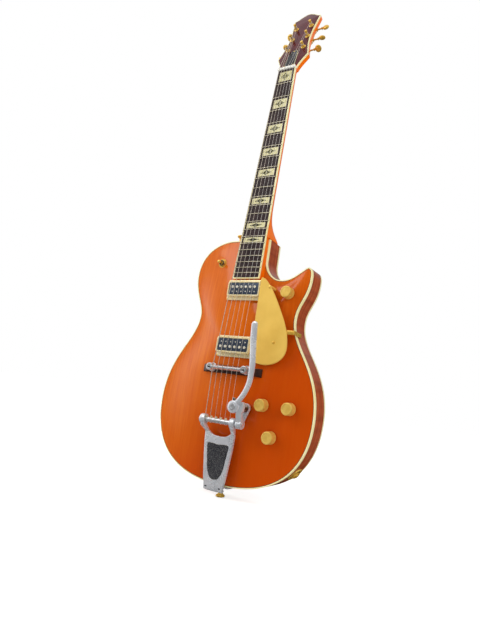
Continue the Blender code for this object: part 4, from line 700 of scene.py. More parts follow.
def makeRepeatTree():
    # one item on each point, turned to the point's facing
    tree, given, result = newGeometryTree(
        "repeatItem", [("Places", "Geometry", None), ("Item", "Object", None), ("Item Size", "Float", 1.0)])
    item = tree.nodes.new("GeometryNodeObjectInfo")
    tree.links.new(given.outputs["Item"], item.inputs["Object"])
    aim = addNode(tree, "FunctionNodeAxesToRotation", primary_axis="Z", secondary_axis="X")
    for label, axis in (("facing", "Primary Axis"), ("upright", "Secondary Axis")):
        kept = addNode(tree, "GeometryNodeInputNamedAttribute", data_type="FLOAT_VECTOR")
        kept.inputs["Name"].default_value = label
        tree.links.new(kept.outputs["Attribute"], aim.inputs[axis])
    points = tree.nodes.new("GeometryNodeMeshToPoints")
    copies = tree.nodes.new("GeometryNodeInstanceOnPoints")
    tree.links.new(given.outputs["Places"], points.inputs["Mesh"])
    tree.links.new(points.outputs["Points"], copies.inputs["Points"])
    tree.links.new(item.outputs["Geometry"], copies.inputs["Instance"])
    tree.links.new(aim.outputs["Rotation"], copies.inputs["Rotation"])
    tree.links.new(given.outputs["Item Size"], copies.inputs["Scale"])
    return finishTree(tree, copies.outputs["Instances"], given, result)


def makePathTree():
    # sweeps a round section along each line of points and keeps the distance along it
    tree, given, result = newGeometryTree(
        "followPath", [("Path", "Geometry", None), ("Thickness", "Float", 0.001), ("Sides", "Int", 12)])
    line = tree.nodes.new("GeometryNodeMeshToCurve")
    tree.links.new(given.outputs["Path"], line.inputs["Mesh"])
    along = tree.nodes.new("GeometryNodeSplineParameter")
    keep = addNode(tree, "GeometryNodeStoreNamedAttribute", {"Name": "alongString"}, data_type="FLOAT")
    tree.links.new(line.outputs["Curve"], keep.inputs["Geometry"])
    tree.links.new(along.outputs["Length"], keep.inputs["Value"])
    circle = tree.nodes.new("GeometryNodeCurvePrimitiveCircle")
    tree.links.new(given.outputs["Sides"], circle.inputs["Resolution"])
    tree.links.new(given.outputs["Thickness"], circle.inputs["Radius"])
    sweep = addNode(tree, "GeometryNodeCurveToMesh", {"Fill Caps": True})
    tree.links.new(keep.outputs["Geometry"], sweep.inputs["Curve"])
    tree.links.new(circle.outputs["Curve"], sweep.inputs["Profile Curve"])
    return finishTree(tree, sweep.outputs["Mesh"], given, result)


repeatTree = makeRepeatTree()
pathTree = makePathTree()


def grown(mesh, tree, inputs):
    # what a geometry tree makes of a mesh of points or lines
    holder = addObject("holder", mesh)
    modifier = holder.modifiers.new("grow", "NODES")
    modifier.node_group = tree
    for socket in tree.interface.items_tree:
        if socket.item_type == "SOCKET" and socket.in_out == "INPUT" and socket.name in inputs:
            modifier[socket.identifier] = inputs[socket.name]
    made = evaluated(holder)
    bpy.data.objects.remove(holder)
    return made


def repeatPiece(name, bm, places, finish, matrix=None):
    # places: (point, facing, upright) for each copy of the item, whose axis is Z
    item = addObject("item", meshOf(bm, "item", 40))
    mesh = bpy.data.meshes.new("places")
    whole = matrix if matrix is not None else Matrix.Identity(4)
    turn = whole.to_3x3()
    mesh.from_pydata([whole @ Vector(place[0]) for place in places], [], [])
    for label, index in (("facing", 1), ("upright", 2)):
        layer = mesh.attributes.new(label, "FLOAT_VECTOR", "POINT")
        for i, place in enumerate(places):
            layer.data[i].vector = turn @ Vector(place[index])
    made = grown(mesh, repeatTree, {"Item": item, "Item Size": 1.0, "Finish": finishes[finish]})
    bpy.data.objects.remove(item)
    smoothBy(made, 40)
    made.name = name
    return newPiece(name, made, finish)


def pathPiece(name, lines, radius, finish, body="guitar", replaced=(), sides=12, matrix=None):
    points, edges = [], []
    for line in lines:
        first = len(points)
        points += [tuple(point) for point in line]
        edges += [(first + i, first + i + 1) for i in range(len(line) - 1)]
    mesh = bpy.data.meshes.new("path")
    mesh.from_pydata(points, edges, [])
    made = grown(mesh, pathTree, {"Thickness": radius, "Sides": sides, "Finish": finishes[finish]})
    if matrix is not None:
        made.transform(matrix)
    smoothBy(made, 50)
    made.name = name
    return newPiece(name, made, finish, body, replaced)


def screwItem(radius, height):
    # domed head along +Z
    bm = bmesh.new()
    profile = [(radius * 0.96, -height * 0.5), (radius, 0), (radius * 0.96, height * 0.45),
               (radius * 0.80, height * 0.80), (radius * 0.45, height)]
    addLathe(bm, (0, 0, 0), (0, 0, 1), profile, 24)
    return bm


def slottedItem(radius, height):
    # cheese head with a straight slot, along +Z
    bm = bmesh.new()
    slot = radius * 0.16
    for side in (-1, 1):
        turn = math.asin(slot / radius)
        points = []
        for i in range(13):
            angle = -math.pi / 2 + turn + (math.pi - 2 * turn) * i / 12
            points.append((side * radius * math.cos(angle), radius * math.sin(angle)))
        rings = [[(x, y, level) for x, y in points] for level in (-height, height * 0.75)]
        rings.append([(side * slot + (x - side * slot) * 0.88, y * 0.9, height) for x, y in points])
        addLoft(bm, rings)
    addLathe(bm, (0, 0, -height), (0, 0, 1), [(radius * 0.99, 0), (radius * 0.99, height * 1.45)], 24)
    return bm


def smoothAlong(table, count):
    # points of a table joined by a smooth curve, with count steps between neighbours
    made = []
    for i in range(len(table) - 1):
        before, here = table[max(i - 1, 0)], table[i]
        after, last = table[i + 1], table[min(i + 2, len(table) - 1)]
        for k in range(count):
            t = k / count
            made.append(tuple(0.5 * (2 * b + (c - a) * t + (2 * a - 5 * b + 4 * c - d) * t * t
                                     + (3 * b - a - 3 * c + d) * t ** 3)
                              for a, b, c, d in zip(before, here, after, last)))
    return made + [tuple(table[-1])]


def addFluted(bm, base, axis, profile, teeth, sides):
    # a lathed shape whose rings are pulled in by flutes; profile: (radius, distance, flute depth)
    base, axis = Vector(base), Vector(axis).normalized()
    rings = []
    for radius, distance, flute in profile:
        ring = []
        for i, spoke in enumerate(allRound(axis, sides)):
            size = radius - flute * (0.5 - 0.5 * math.cos(teeth * 2 * math.pi * i / sides))
            ring.append(base + axis * distance + size * spoke)
        rings.append(ring)
    addLoft(bm, rings)


def cut(piece, *cutters):
    # takes closed shapes away from a piece
    tools = []
    for bm in cutters:
        tool = addObject("cutter", meshOf(bm, "cutter", 30))
        modifier = piece.modifiers.new("cut", "BOOLEAN")
        modifier.operation = "DIFFERENCE"
        modifier.solver = "EXACT"
        modifier.object = tool
        tools.append(tool)
    mesh = evaluated(piece)
    for tool in tools:
        bpy.data.objects.remove(tool)
    piece.data = mesh
    smoothBy(mesh, 40)


# Body

bodyForm = {"fineness": 4, "rings": 28, "bindingWidth": 0.0022, "bindingEdge": 0.0009,
            "purflingWidth": 0.0007, "rimTop": -0.0364}
coverForm = {"low": (0.056, -0.128), "high": (0.136, -0.034), "corner": 0.012, "screwInset": 0.0055}


def lowerSide(side, waistX, waistZ, fine):
    # from the tail round the lower bout to the waist
    half, boutZ, tailZ = side * 0.162, -0.065, -0.197
    rise = waistZ - boutZ
    bout, waist = (half, boutZ), (side * waistX, waistZ)
    points = curve((0, tailZ), (0.773 * half, tailZ), (half, boutZ - 0.529 * 0.132), bout, 9 * fine)
    points += curve(bout, (half, boutZ + 0.517 * rise), (waist[0], waistZ - 0.30 * rise), waist, 8 * fine)
    return points + [waist]


def bodyOutline(fine):
    waist, bout = (0.1045, 0.0935), (0.1258, 0.1740)
    slope, tip = Vector((0.84, 0.54)), Vector((0.1135, 0.1888))
    cutaway, neckSide = (0.0665, 0.1669), (0.0292, 0.205)
    shoulder, bassShoulder, shoulderZ = 0.0292, -0.050, 0.2462
    bassWaist, bassBout = (-0.1028, 0.0975), (-0.126, 0.176)
    rise, bassRise = bout[1] - waist[1], bassBout[1] - bassWaist[1]
    points = lowerSide(1, *waist, fine)[:-1]
    points += curve(waist, (waist[0], waist[1] + 0.40 * rise), (bout[0], bout[1] - 0.50 * rise), bout,
                    5 * fine)
    points += curve(bout, (bout[0], 0.1865), tip + 0.007 * slope, tip, 4 * fine)
    points += curve(tip, tip - 0.018 * slope, (0.0862, cutaway[1]), cutaway, 5 * fine)
    points += curve(cutaway, (0.0463, cutaway[1]), (shoulder, 0.1848), neckSide, 5 * fine)
    points += curve(neckSide, (shoulder, 0.2187), (shoulder, 0.2325), (shoulder, shoulderZ), fine)
    points += curve((shoulder, shoulderZ), (0.0028, shoulderZ), (-0.0236, shoulderZ),
                    (bassShoulder, shoulderZ), fine)
    points += curve((bassShoulder, shoulderZ), (-0.088, shoulderZ),
                    (bassBout[0], bassBout[1] + 0.66 * 0.0702), bassBout, 7 * fine)
    points += curve(bassBout, (bassBout[0], bassBout[1] - 0.427 * bassRise),
                    (bassWaist[0], bassWaist[1] + 0.269 * bassRise), bassWaist, 5 * fine)
    return points + list(reversed(lowerSide(-1, -bassWaist[0], bassWaist[1], fine)))[:-1]


outline = bodyOutline(bodyForm["fineness"])
packedOutline = bodyOutline(1)
packedTop = inset(packedOutline, 0.0025)


def archProfile(share):
    return archHeight * (0.5 + 0.5 * math.cos(math.pi * share ** 1.6))


def arch(x, z):
    # height of the carved top over the plane of its edge
    centre = Vector((0, archMiddle))
    ray = Vector((x, z)) - centre
    if ray.length < 1e-6:
        return archHeight
    share = 1.0
    for i, corner in enumerate(packedTop):
        start = Vector(packedTop[i - 1]) - centre
        side = Vector(corner) - centre - start
        cross = ray.x * side.y - ray.y * side.x
        if abs(cross) < 1e-12:
            continue
        alongSide = (start.x * ray.y - start.y * ray.x) / cross
        alongRay = (start.x * side.y - start.y * side.x) / cross
        if 0 <= alongSide <= 1 and alongRay > 0:
            share = 1 / alongRay
    return archProfile(min(share, 1.0))


def ringWall(bm, outer, inner, yFace, yFoot, edge, innerEdge=0.0):
    # closed wall between two outlines, with rounded edges on its face
    away = 1 if yFoot > yFace else -1
    sections = []
    for (xo, zo), (xi, zi) in zip(outer, inner):
        out = Vector((xo - xi, zo - zi)).normalized()
        section = []
        for turn in quarterTurns(4) if innerEdge else [0]:
            into, deep = innerEdge * (1 - math.cos(turn)), innerEdge * (1 - math.sin(turn))
            section.append((xi + out.x * into, yFace + away * deep, zi + out.y * into))
        for turn in quarterTurns(4) if edge else [0]:
            back, deep = edge * (1 - math.sin(turn)), edge * (1 - math.cos(turn))
            section.append((xo - out.x * back, yFace + away * deep, zo - out.y * back))
        section += [(xo, yFoot, zo), (xi, yFoot, zi)]
        sections.append(section)
    addLoft(bm, sections, closed=True)


def coverOutline(wider):
    low, high = coverForm["low"], coverForm["high"]
    return rounded((low[0] - wider, low[1] - wider), (high[0] + wider, high[1] + wider),
                   coverForm["corner"] + wider)


def rimPoint(x, y, lowZ, highZ):
    # the place on the rim at x between two heights, and its outward normal
    for i, end in enumerate(packedOutline):
        start = packedOutline[i - 1]
        if lowZ < end[1] < highZ and min(start[0], end[0]) <= x <= max(start[0], end[0]):
            share = (x - start[0]) / (end[0] - start[0])
            normal = Vector((end[1] - start[1], 0, start[0] - end[0])).normalized()
            return Vector((x, y, start[1] + (end[1] - start[1]) * share)), normal


def jackPlace():
    return rimPoint(0.1283, -0.018, -0.197, -0.065)


def makeBody():
    width, edge, rimTop = bodyForm["bindingWidth"], bodyForm["bindingEdge"], bodyForm["rimTop"]
    topLine = inset(outline, width + bodyForm["purflingWidth"])
    bm = bmesh.new()
    rings = [[(x, rimTop, z) for x, z in topLine]]
    for i in range(bodyForm["rings"] + 1):
        share = 1 - (i / bodyForm["rings"]) * 0.985
        rings.append([(x * share, front(archProfile(share)), archMiddle + (z - archMiddle) * share)
                      for x, z in topLine])
    addLoft(bm, rings)
    formPiece("carvedTop", bm, 30, "top", replaced=("body_top",))

    bm = bmesh.new()
    ringWall(bm, inset(outline, width - 0.00005), topLine, front(-0.0001), -0.0370, 0)
    formPiece("purfling", bm, 30, "line")

    inside = inset(outline, width)
    for name, node, face, foot in (("frontBinding", "top_binding", front(0), -0.0365),
                                   ("rearBinding", "back_binding", 0, -0.005)):
        bm = bmesh.new()
        ringWall(bm, outline, inside, face, foot, edge, 0.0003)
        formPiece(name, bm, 50, "cream", replaced=(node,))

    inner = inset(outline, width + 0.0001)
    bm = bmesh.new()
    addLoft(bm, [[(x, rimTop, z) for x, z in outline], [(x, -0.0051, z) for x, z in outline],
                 [(x, -0.0051, z) for x, z in inner], [(x, -0.0001, z) for x, z in inner]])
    rim = formPiece("rimAndBack", bm, 40, "rim", replaced=("body_back",))
    recess, hole = bmesh.new(), bmesh.new()
    addPlate(recess, coverOutline(gap), 0.01, -0.0023)
    place, normal = jackPlace()
    addLathe(hole, place - 0.02 * normal, normal, [(0.0053, 0), (0.0053, 0.04)], 32)
    cut(rim, recess, hole)


def makeRearCover():
    bm = bmesh.new()
    addPlate(bm, coverOutline(0), 0, -0.002, 0.0004)
    formPiece("controlCover", bm, 35, "black", replaced=("rear_cover",))
    low, high = coverForm["low"], coverForm["high"]
    near = coverForm["screwInset"]
    corners = [(x, z) for z in (low[1] + near, high[1] - near) for x in (low[0] + near, high[0] - near)]
    places = [((x, -0.0002, z), toBack, (math.cos(i), 0, math.sin(i))) for i, (x, z) in enumerate(corners)]
    repeatPiece("coverScrews", screwItem(0.0026, 0.0006), places, "gold")


makeBody()
makeRearCover()
print("body done")


# Neck and headstock

neckForm = {"around": 32, "along": 8, "headFineness": 4, "headEdge": 0.0012, "headThick": 0.0118,
            "tunerStart": 0.0655, "tunerSpace": 0.037}


def boardHalf(z):
    share = -z / (boardLength - pastLastFret)
    return (nutWidth + (boardEndWidth - nutWidth) * share) / 2


def neckZ(worldZ, y):
    # distance along the neck at which it crosses a height
    return (worldZ - scaleLength + y * math.sin(neckAngle)) / math.cos(neckAngle)


def neckRing(z, half, top, depth, squareness=0.0, slant=0.0):
    # the neck's cross section: flat under the board, rounded or nearly square at the back
    side = top + 0.0006
    power = 1 - 0.65 * squareness
    ring = [(-half, top, z)]
    for i in range(neckForm["around"] + 1):
        turn = math.pi * i / neckForm["around"]
        y = side + (depth - side) * abs(math.sin(turn)) ** power
        ring.append((-half * pushed(math.cos(turn), power), y, z + slant * (y - top)))
    ring.append((half, top, z))
    return ring


def headOutline(fine):
    half = curve((0.0201, -0.0019), (0.0209, 0.010), (0.0287, 0.0237), (0.0360, 0.0390), 4 * fine)
    half += curve((0.0360, 0.0390), (0.0337, 0.0509), (0.0257, 0.0732), (0.0257, 0.1025), 4 * fine)
    half += curve((0.0257, 0.1025), (0.0257, 0.1276), (0.0295, 0.1515), (0.032, 0.1735), 3 * fine)
    half += curve((0.032, 0.1735), (0.024, 0.1730), (0.016, 0.1875), (0, 0.190), 4 * fine)
    return half + [(0, 0.190)] + [(-x, s) for x, s in reversed(half)]


def postPlaces():
    # string number, side and distance up the head of each tuner
    places = []
    for i in range(3):
        s = neckForm["tunerStart"] + i * neckForm["tunerSpace"]
        places += [(1 + i, 1, s), (6 - i, -1, s)]
    return places


def makeNeck():
    top = boardThick + gap
    faceZ = neckZ(0.2465, top)
    # distance along the neck, extra half width, depth, squareness
    table = [(nutThick + gap, 0, 0.0190, 0), (0.0, 0, 0.0200, 0), (0.32 * faceZ, 0, 0.0210, 0),
             (0.66 * faceZ, 0, 0.0220, 0), (0.82 * faceZ, 0, 0.0230, 0)]
    heelDepth = bodyDepth - 0.004 + boardEndHeight - 0.005
    for before, share in ((0.050, 0.05), (0.036, 0.17), (0.024, 0.40), (0.014, 0.67), (0.007, 0.88),
                          (0.003, 0.97), (0, 1)):
        table.append((faceZ + before, 0.0035 * share, 0.0230 + (heelDepth - 0.0230) * share, share))
    bm = bmesh.new()
    rings = []
    for z, wider, depth, share in smoothAlong(table, neckForm["along"]):
        share = max(0.0, min(1.0, share))
        rings.append(neckRing(z, boardHalf(z) + wider, top, depth, share, math.tan(neckAngle) * share))
    addLoft(bm, rings)

    # the stand that carries the board's end over the top
    plan = []
    endZ = (neckFrame @ Vector((0, top, -boardLength))).z
    for z, side in ((endZ, -1), (endZ, 1), (0.2502, 1), (0.2502, -1)):
        plan.append((side * boardHalf(neckZ(z, top)), z))
    toNeck = neckFrame.inverted()
    low = [toNeck @ Vector((x, front(-0.0012), z)) for x, z in plan]
    high = [toNeck @ Vector((x, (neckFrame @ Vector((0, top, neckZ(z, top)))).y, z)) for x, z in plan]
    addLoft(bm, [low, high])

    line = headOutline(neckForm["headFineness"])
    inner = inset(line, 0.0019)
    edge = neckForm["headEdge"]
    stations = [[(x, 0.0018, s) for x, s in inner], [(x, 0.0034, s) for x, s in inner],
                [(x, 0.0034, s) for x, s in line]]
    for turn in quarterTurns(4):
        stations.append([(x, neckForm["headThick"] - edge + edge * math.sin(turn), s)
                         for x, s in inset(line, edge * (1 - math.cos(turn)))])
    toHead = toNeck @ headFrame
    addLoft(bm, [[toHead @ Vector(point) for point in ring] for ring in stations])
    root = nutWidth / 2 - 0.0002
    volute = smoothAlong([(-0.004, root, 0.0160), (0.004, root - 0.0001, 0.0153),
                          (0.012, root - 0.0003, 0.0140), (0.021, 0.0182, 0.0126),
                          (0.030, 0.0155, 0.0112)], 4)
    addLoft(bm, [[toHead @ Vector(point) for point in neckRing(s, half, 0.006, depth)]
                 for s, half, depth in volute])
    formPiece("neckWood", bm, 42, "neck", replaced=("neck",), matrix=neckFrame)


def makeHeadFace():
    line = headOutline(neckForm["headFineness"])
    bm = bmesh.new()
    addPlate(bm, inset(line, 0.0018), 0, 0.0017, 0.0002)
    formPiece("headFace", bm, 42, "plum", replaced=("headstock_veneer",), matrix=headFrame)
    bm = bmesh.new()
    ringWall(bm, line, inset(line, 0.0016), 0, 0.0034, 0.0006, 0.0002)
    formPiece("headBinding", bm, 50, "cream", replaced=("headstock_binding",), matrix=headFrame)


def makeRodCover():
    # plain dark cover with a pearl border and three screws
    tip = smoothAlong([(0.0112, 0.0360), (0.0104, 0.0460), (0.0076, 0.0545), (0.0040, 0.0580), (0, 0.0590),
                       (-0.0040, 0.0580), (-0.0076, 0.0545), (-0.0104, 0.0460), (-0.0112, 0.0360)], 4)
    shape = [(0.0132, 0.0045)] + tip + [(-0.0132, 0.0045)]
    bm = bmesh.new()
    addPlate(bm, shape, -0.0014, -gap, 0.0003)
    formPiece("rodCoverBorder", bm, 40, "inlay", replaced=("truss_rod_cover",), matrix=headFrame)
    bm = bmesh.new()
    addPlate(bm, inset(shape, 0.0011), -0.0019, -0.0010, 0.0002)
    formPiece("rodCoverFace", bm, 40, "black", matrix=headFrame)
    places = [((x, -0.0018, s), toFront, (1, 0, 0.4))
              for x, s in ((-0.0105, 0.0075), (0.0105, 0.0075), (0, 0.0545))]
    repeatPiece("rodCoverScrews", screwItem(0.0016, 0.0006), places, "gold", matrix=headFrame)


def fretZ(fret):
    return -scaleLength * (1 - 2 ** (-fret / 12))


def boardDrop(x):
    return x * x / (2 * boardRadius)


boardForm = {"bindingWidth": 0.0016, "bindingEdge": 0.0005, "fretRadius": 0.00105,
             "inlayFrets": (1, 3, 5, 7, 9, 12, 15, 17), "inlayMargin": 0.17, "inlaySide": 0.0062,
             "figure": ((0.56, 0.26), (0.40, 0.50), (0.20, 0.66), (0.28, 0.10)), "engraving": 0.0004}


def acrossBoard(half, count, z):
    # points over the board's rounded face at one distance from the nut
    return [(x, boardDrop(x), z) for x in (-half + 2 * half * k / count for k in range(count + 1))]


def makeBoard():
    end, side = -boardLength, boardForm["bindingWidth"]
    rings = []
    for i in range(9):
        z = -gap + (end + side + 0.0002 + gap) * i / 8
        half = boardHalf(z) - side - 0.0001
        rings.append([(half, boardThick, z), (-half, boardThick, z)] + acrossBoard(half, 16, z))
    bm = bmesh.new()
    addLoft(bm, rings)
    formPiece("boardWood", bm, 40, "board", replaced=("fingerboard",), matrix=neckFrame)

    path = [((boardHalf(0), -gap), (boardHalf(0) - side, -gap)),
            ((boardHalf(end), end), (boardHalf(end) - side, end + side))]
    path += [((-x1, z1), (-x2, z2)) for (x1, z1), (x2, z2) in reversed(path)]
    edge = boardForm["bindingEdge"]
    sections = []
    for (xo, zo), (xi, zi) in path:
        out = Vector((xo - xi, zo - zi)).normalized()
        section = [(xi, boardThick, zi), (xi, boardDrop(xi), zi)]
        for turn in quarterTurns(3):
            back, deep = edge * (1 - math.sin(turn)), edge * (1 - math.cos(turn))
            section.append((xo - out.x * back, boardDrop(xo) + deep, zo - out.y * back))
        sections.append(section + [(xo, boardThick, zo)])
    bm = bmesh.new()
    addLoft(bm, sections)
    formPiece("boardBinding", bm, 50, "cream", replaced=("fingerboard_binding",), matrix=neckFrame)

    wires = [acrossBoard(boardHalf(fretZ(fret)) - 0.0003, 12, fretZ(fret)) for fret in range(1, frets + 1)]
    pathPiece("fretWires", wires, boardForm["fretRadius"], "fret", sides=16, matrix=neckFrame)
    makeInlays()
    easedPiece("nutBone", "nut", "bone", 0.00035)


def makeInlays():
    # pearl blocks between frets, each with a plain engraved figure
    bm = bmesh.new()
    marks = []
    for fret in boardForm["inlayFrets"]:
        margin = (fretZ(fret - 1) - fretZ(fret)) * boardForm["inlayMargin"]
        low, high = fretZ(fret) + margin, fretZ(fret - 1) - margin
        rings = []
        for i in range(13):
            ring = []
            for z, y in ((low, 0.0006), (high, 0.0006), (high, -0.00006), (low, -0.00006)):
                half = boardHalf(z) - boardForm["inlaySide"]
                x = -half + 2 * half * (i / 12)
                ring.append((x, boardDrop(x) + y, z))
            rings.append(ring)
        addLoft(bm, rings)
        middle, tall = (low + high) / 2, (high - low) / 2
        reach = boardHalf(low) - boardForm["inlaySide"]
        for wide, long in boardForm["figure"]:
            ring = []
            for k in range(25):
                turn = 2 * math.pi * k / 24
                wave = 1 + 0.16 * math.cos(4 * turn)
                x, z = reach * wide * math.cos(turn) * wave, tall * long * math.sin(turn) * wave
                ring.append((x, boardDrop(x) - 0.00002, middle + z))
            marks.append(ring)
    formPiece("inlays", bm, 40, "inlay", matrix=neckFrame)
    pathPiece("inlayLines", marks, boardForm["engraving"], "line", sides=6, matrix=neckFrame)


makeNeck()
makeHeadFace()
makeRodCover()
makeBoard()
print("neck done")


# Machine heads

tunerForm = {"plateThick": 0.0012, "gearThick": 0.0035, "teeth": 12, "wheelRadius": 0.00465,
             "toothDepth": 0.00065, "wormRise": 0.0085, "buttonReach": 0.0445}


def makePost(number, x, s, gearBack):
    bm = bmesh.new()
    waist, tip = gearBack + 0.005, gearBack + 0.0125
    profile = [(0.0030, 0), (0.0030, waist - 0.0010), (0.0025, waist - 0.0005), (0.0025, tip - 0.0027)]
    profile += smoothAlong([(0.0030, tip - 0.0021), (0.0030, tip - 0.0008), (0.0027, tip - 0.0002),
                            (0.0018, tip), (0, tip)], 3)
    addLathe(bm, (x, gearBack, s), toFront, profile, 28)
    wheel = []
    for i in range(96):
        turn = 2 * math.pi * i / 96
        wave = math.cos(tunerForm["teeth"] * turn + math.pi)
        radius = tunerForm["wheelRadius"] + tunerForm["toothDepth"] * max(-1.0, min(1.0, 2.2 * wave))
        wheel.append((x + radius * math.cos(turn), s + radius * math.sin(turn)))
    addPlate(bm, wheel, gearBack - tunerForm["gearThick"], gearBack - 0.0002, 0.0002)
    addLathe(bm, (x, gearBack - 0.0004, s), toBack,
             [(0.0024, 0), (0.0024, 0.0005), (0.0018, 0.0008), (0.0016, 0.0006), (0, 0.0006)], 24)
    formPiece("post%d" % number, bm, 38, "gold", "post_%d" % number,
              ("tuner_post_%d" % number,), matrix=headFrame)


def makeButton(number, side, s, gearBack):
    # worm, shaft and turned collar with a round button at the end
    reach, shaftStart = tunerForm["buttonReach"], tunerX - 0.0064
    y, z = (gearBack - tunerForm["gearThick"] + gearBack) / 2, s + tunerForm["wormRise"]
    bm = bmesh.new()
    addLathe(bm, (side * shaftStart, y, z), (side, 0, 0), [(0.0016, 0), (0.0016, reach - shaftStart)], 20)
    thread = [(0.0016, 0)]
    for level in (0.0, 0.0025, 0.0050):
        thread += [(0.0026, level + 0.0007), (0.0027, level + 0.00115), (0.0026, level + 0.0016),
                   (0.0019, level + 0.0022)]
    addLathe(bm, (side * tunerX - 0.0039, y, z), (1, 0, 0), thread + [(0.0016, 0.0078)], 24)
    collar = smoothAlong([(0.0016, 0), (0.0028, 0.0009), (0.0030, 0.0016), (0.0022, 0.0028),
                          (0.0020, 0.0040), (0.0027, 0.0052)], 3)
    addLathe(bm, (side * (reach - 0.0107), y, z), (side, 0, 0), collar, 24)
    lean = math.radians(25 + 50 * number)
    face = Vector((0, math.cos(lean), math.sin(lean)))
    disc = smoothAlong([(0, 0.0002), (0.0022, 0.0001), (0.0042, 0.0001), (0.0060, 0.0009),
                        (0.0071, 0.0023), (0.0072, 0.0030), (0.0071, 0.0037), (0.0060, 0.0051),
                        (0.0042, 0.0059), (0.0022, 0.0059), (0, 0.0058)], 3)
    addLathe(bm, Vector((side * reach, y, z)) - face * 0.003, face, disc, 36)
    formPiece("button%d" % number, bm, 40, "gold", "button_%d" % number,
              ("tuner_button_%d" % number,), matrix=headFrame)


def makeMachineHeads():
    gearBack = neckForm["headThick"] + gap + 2 * tunerForm["plateThick"] + tunerForm["gearThick"]
    for label in ("bass", "treble"):
        easedPiece("headPlate" + label.title(), "tuner_plate_" + label, "gold", 0.0003)
    screws, sleeves = [], bmesh.new()
    for number, side, s in postPlaces():
        x = side * tunerX
        makePost(number, x, s, gearBack)
        addLathe(sleeves, (x, 0.0006, s), toFront,
                 [(0.0033, 0), (0.0056, 0), (0.0056, 0.0010), (0.0050, 0.0015), (0.0040, 0.0026),
                  (0.0033, 0.0026)], 32, True)
        makeButton(number, side, s, gearBack)
        first = s == neckForm["tunerStart"]
        for offset in (-0.0095, 0.0165) if first else (0.0165,):
            screws.append(((x, 0.0134, s + offset), toBack, (math.cos(s * 900), 0, math.sin(s * 900))))
    formPiece("postSleeves", sleeves, 35, "gold", matrix=headFrame)
    repeatPiece("plateScrews", screwItem(0.0022, 0.0009), screws, "gold", matrix=headFrame)


makeMachineHeads()
print("machine heads done")


# Pickups

pickupForm = {
    "neck": {"middle": 0.1458, "flange": 0.1443, "flangeHeight": 0.0140, "height": 0.0188, "side": 1},
    "bridge": {"middle": 0.0418, "flange": 0.0400, "flangeHeight": 0.0170, "height": 0.0248, "side": -1},
}


def stringShare(number):
    return 1 - 2 * (number - 1) / 5


def stringSpread(z):
    return bridgeSpread + (nutSpread - bridgeSpread) * z / scaleLength


def coverBlock(z, high, wide, radius):
    return rounded((-wide, z - high), (wide, z + high), radius)


def makePickup(label):
    form = pickupForm[label]
    z, height, side = form["middle"], form["height"], form["side"]
    bm = bmesh.new()
    ringWall(bm, coverBlock(z, 0.0145, 0.035, 0.0045), coverBlock(z, 0.0113, 0.0318, 0.0022),
             front(height), front(0.002), 0.0011, 0.0006)
    formPiece(label + "PickupFrame", bm, 40, "paintedReflectionGold", replaced=(label + "_pickup_cover",))
    flangeZ, flangeHeight = form["flange"], form["flangeHeight"]
    bm = bmesh.new()
    addPlate(bm, coverBlock(flangeZ, 0.019, 0.03725, 0.0022), front(flangeHeight),
             front(flangeHeight - 0.003), 0.0006)
    formPiece(label + "PickupFlange", bm, 40, "paintedReflectionGold")
    bm = bmesh.new()
    addPlate(bm, coverBlock(z, 0.0112, 0.0317, 0.0021), front(height - 0.0010), front(-0.016), 0.0002)
    formPiece(label + "PickupFace", bm, 30, "coil", replaced=(label + "_pickup_coil",))
    poles, studs = [], []
    for number in range(1, 7):
        x = stringShare(number) * stringSpread(z) / 2
        upright = (math.cos(number * 1.3), 0, math.sin(number * 1.3))
        poles.append(((x, front(height - 0.0012), z + side * 0.0035), toFront, upright))
        studs.append(((x, front(height - 0.0011), z - side * 0.0052), toFront, upright))
    repeatPiece(label + "PoleScrews", slottedItem(0.0024, 0.0016), poles, "pole")
    repeatPiece(label + "PoleStuds", screwItem(0.0011, 0.0005), studs, "pole")
    corners = [((sx * 0.0356, front(flangeHeight), flangeZ + sz * 0.0172), toFront, (1, 0, sx * 0.6))
               for sx in (-1, 1) for sz in (-1, 1)]
    repeatPiece(label + "FlangeScrews", screwItem(0.0013, 0.0006), corners, "gold")


makePickup("neck")
makePickup("bridge")
print("pickups done")


# Bridge

stringForm = {"diameters": (0.00025, 0.00033, 0.00043, 0.00066, 0.00091, 0.00117), "thinnest": 0.00024,
              "wrapSteps": 32, "turnSteps": 24}
saddleForm = {"low": 0.0241, "crest": 0.0359, "halfWidth": 0.0035, "crestHalf": 0.0013, "slotDepth": 0.0034}
bridgeForm = {"middle": -0.0018, "half": 0.0073, "length": 0.1226, "stations": 56, "height": 0.0205,
              "edge": 0.0018}


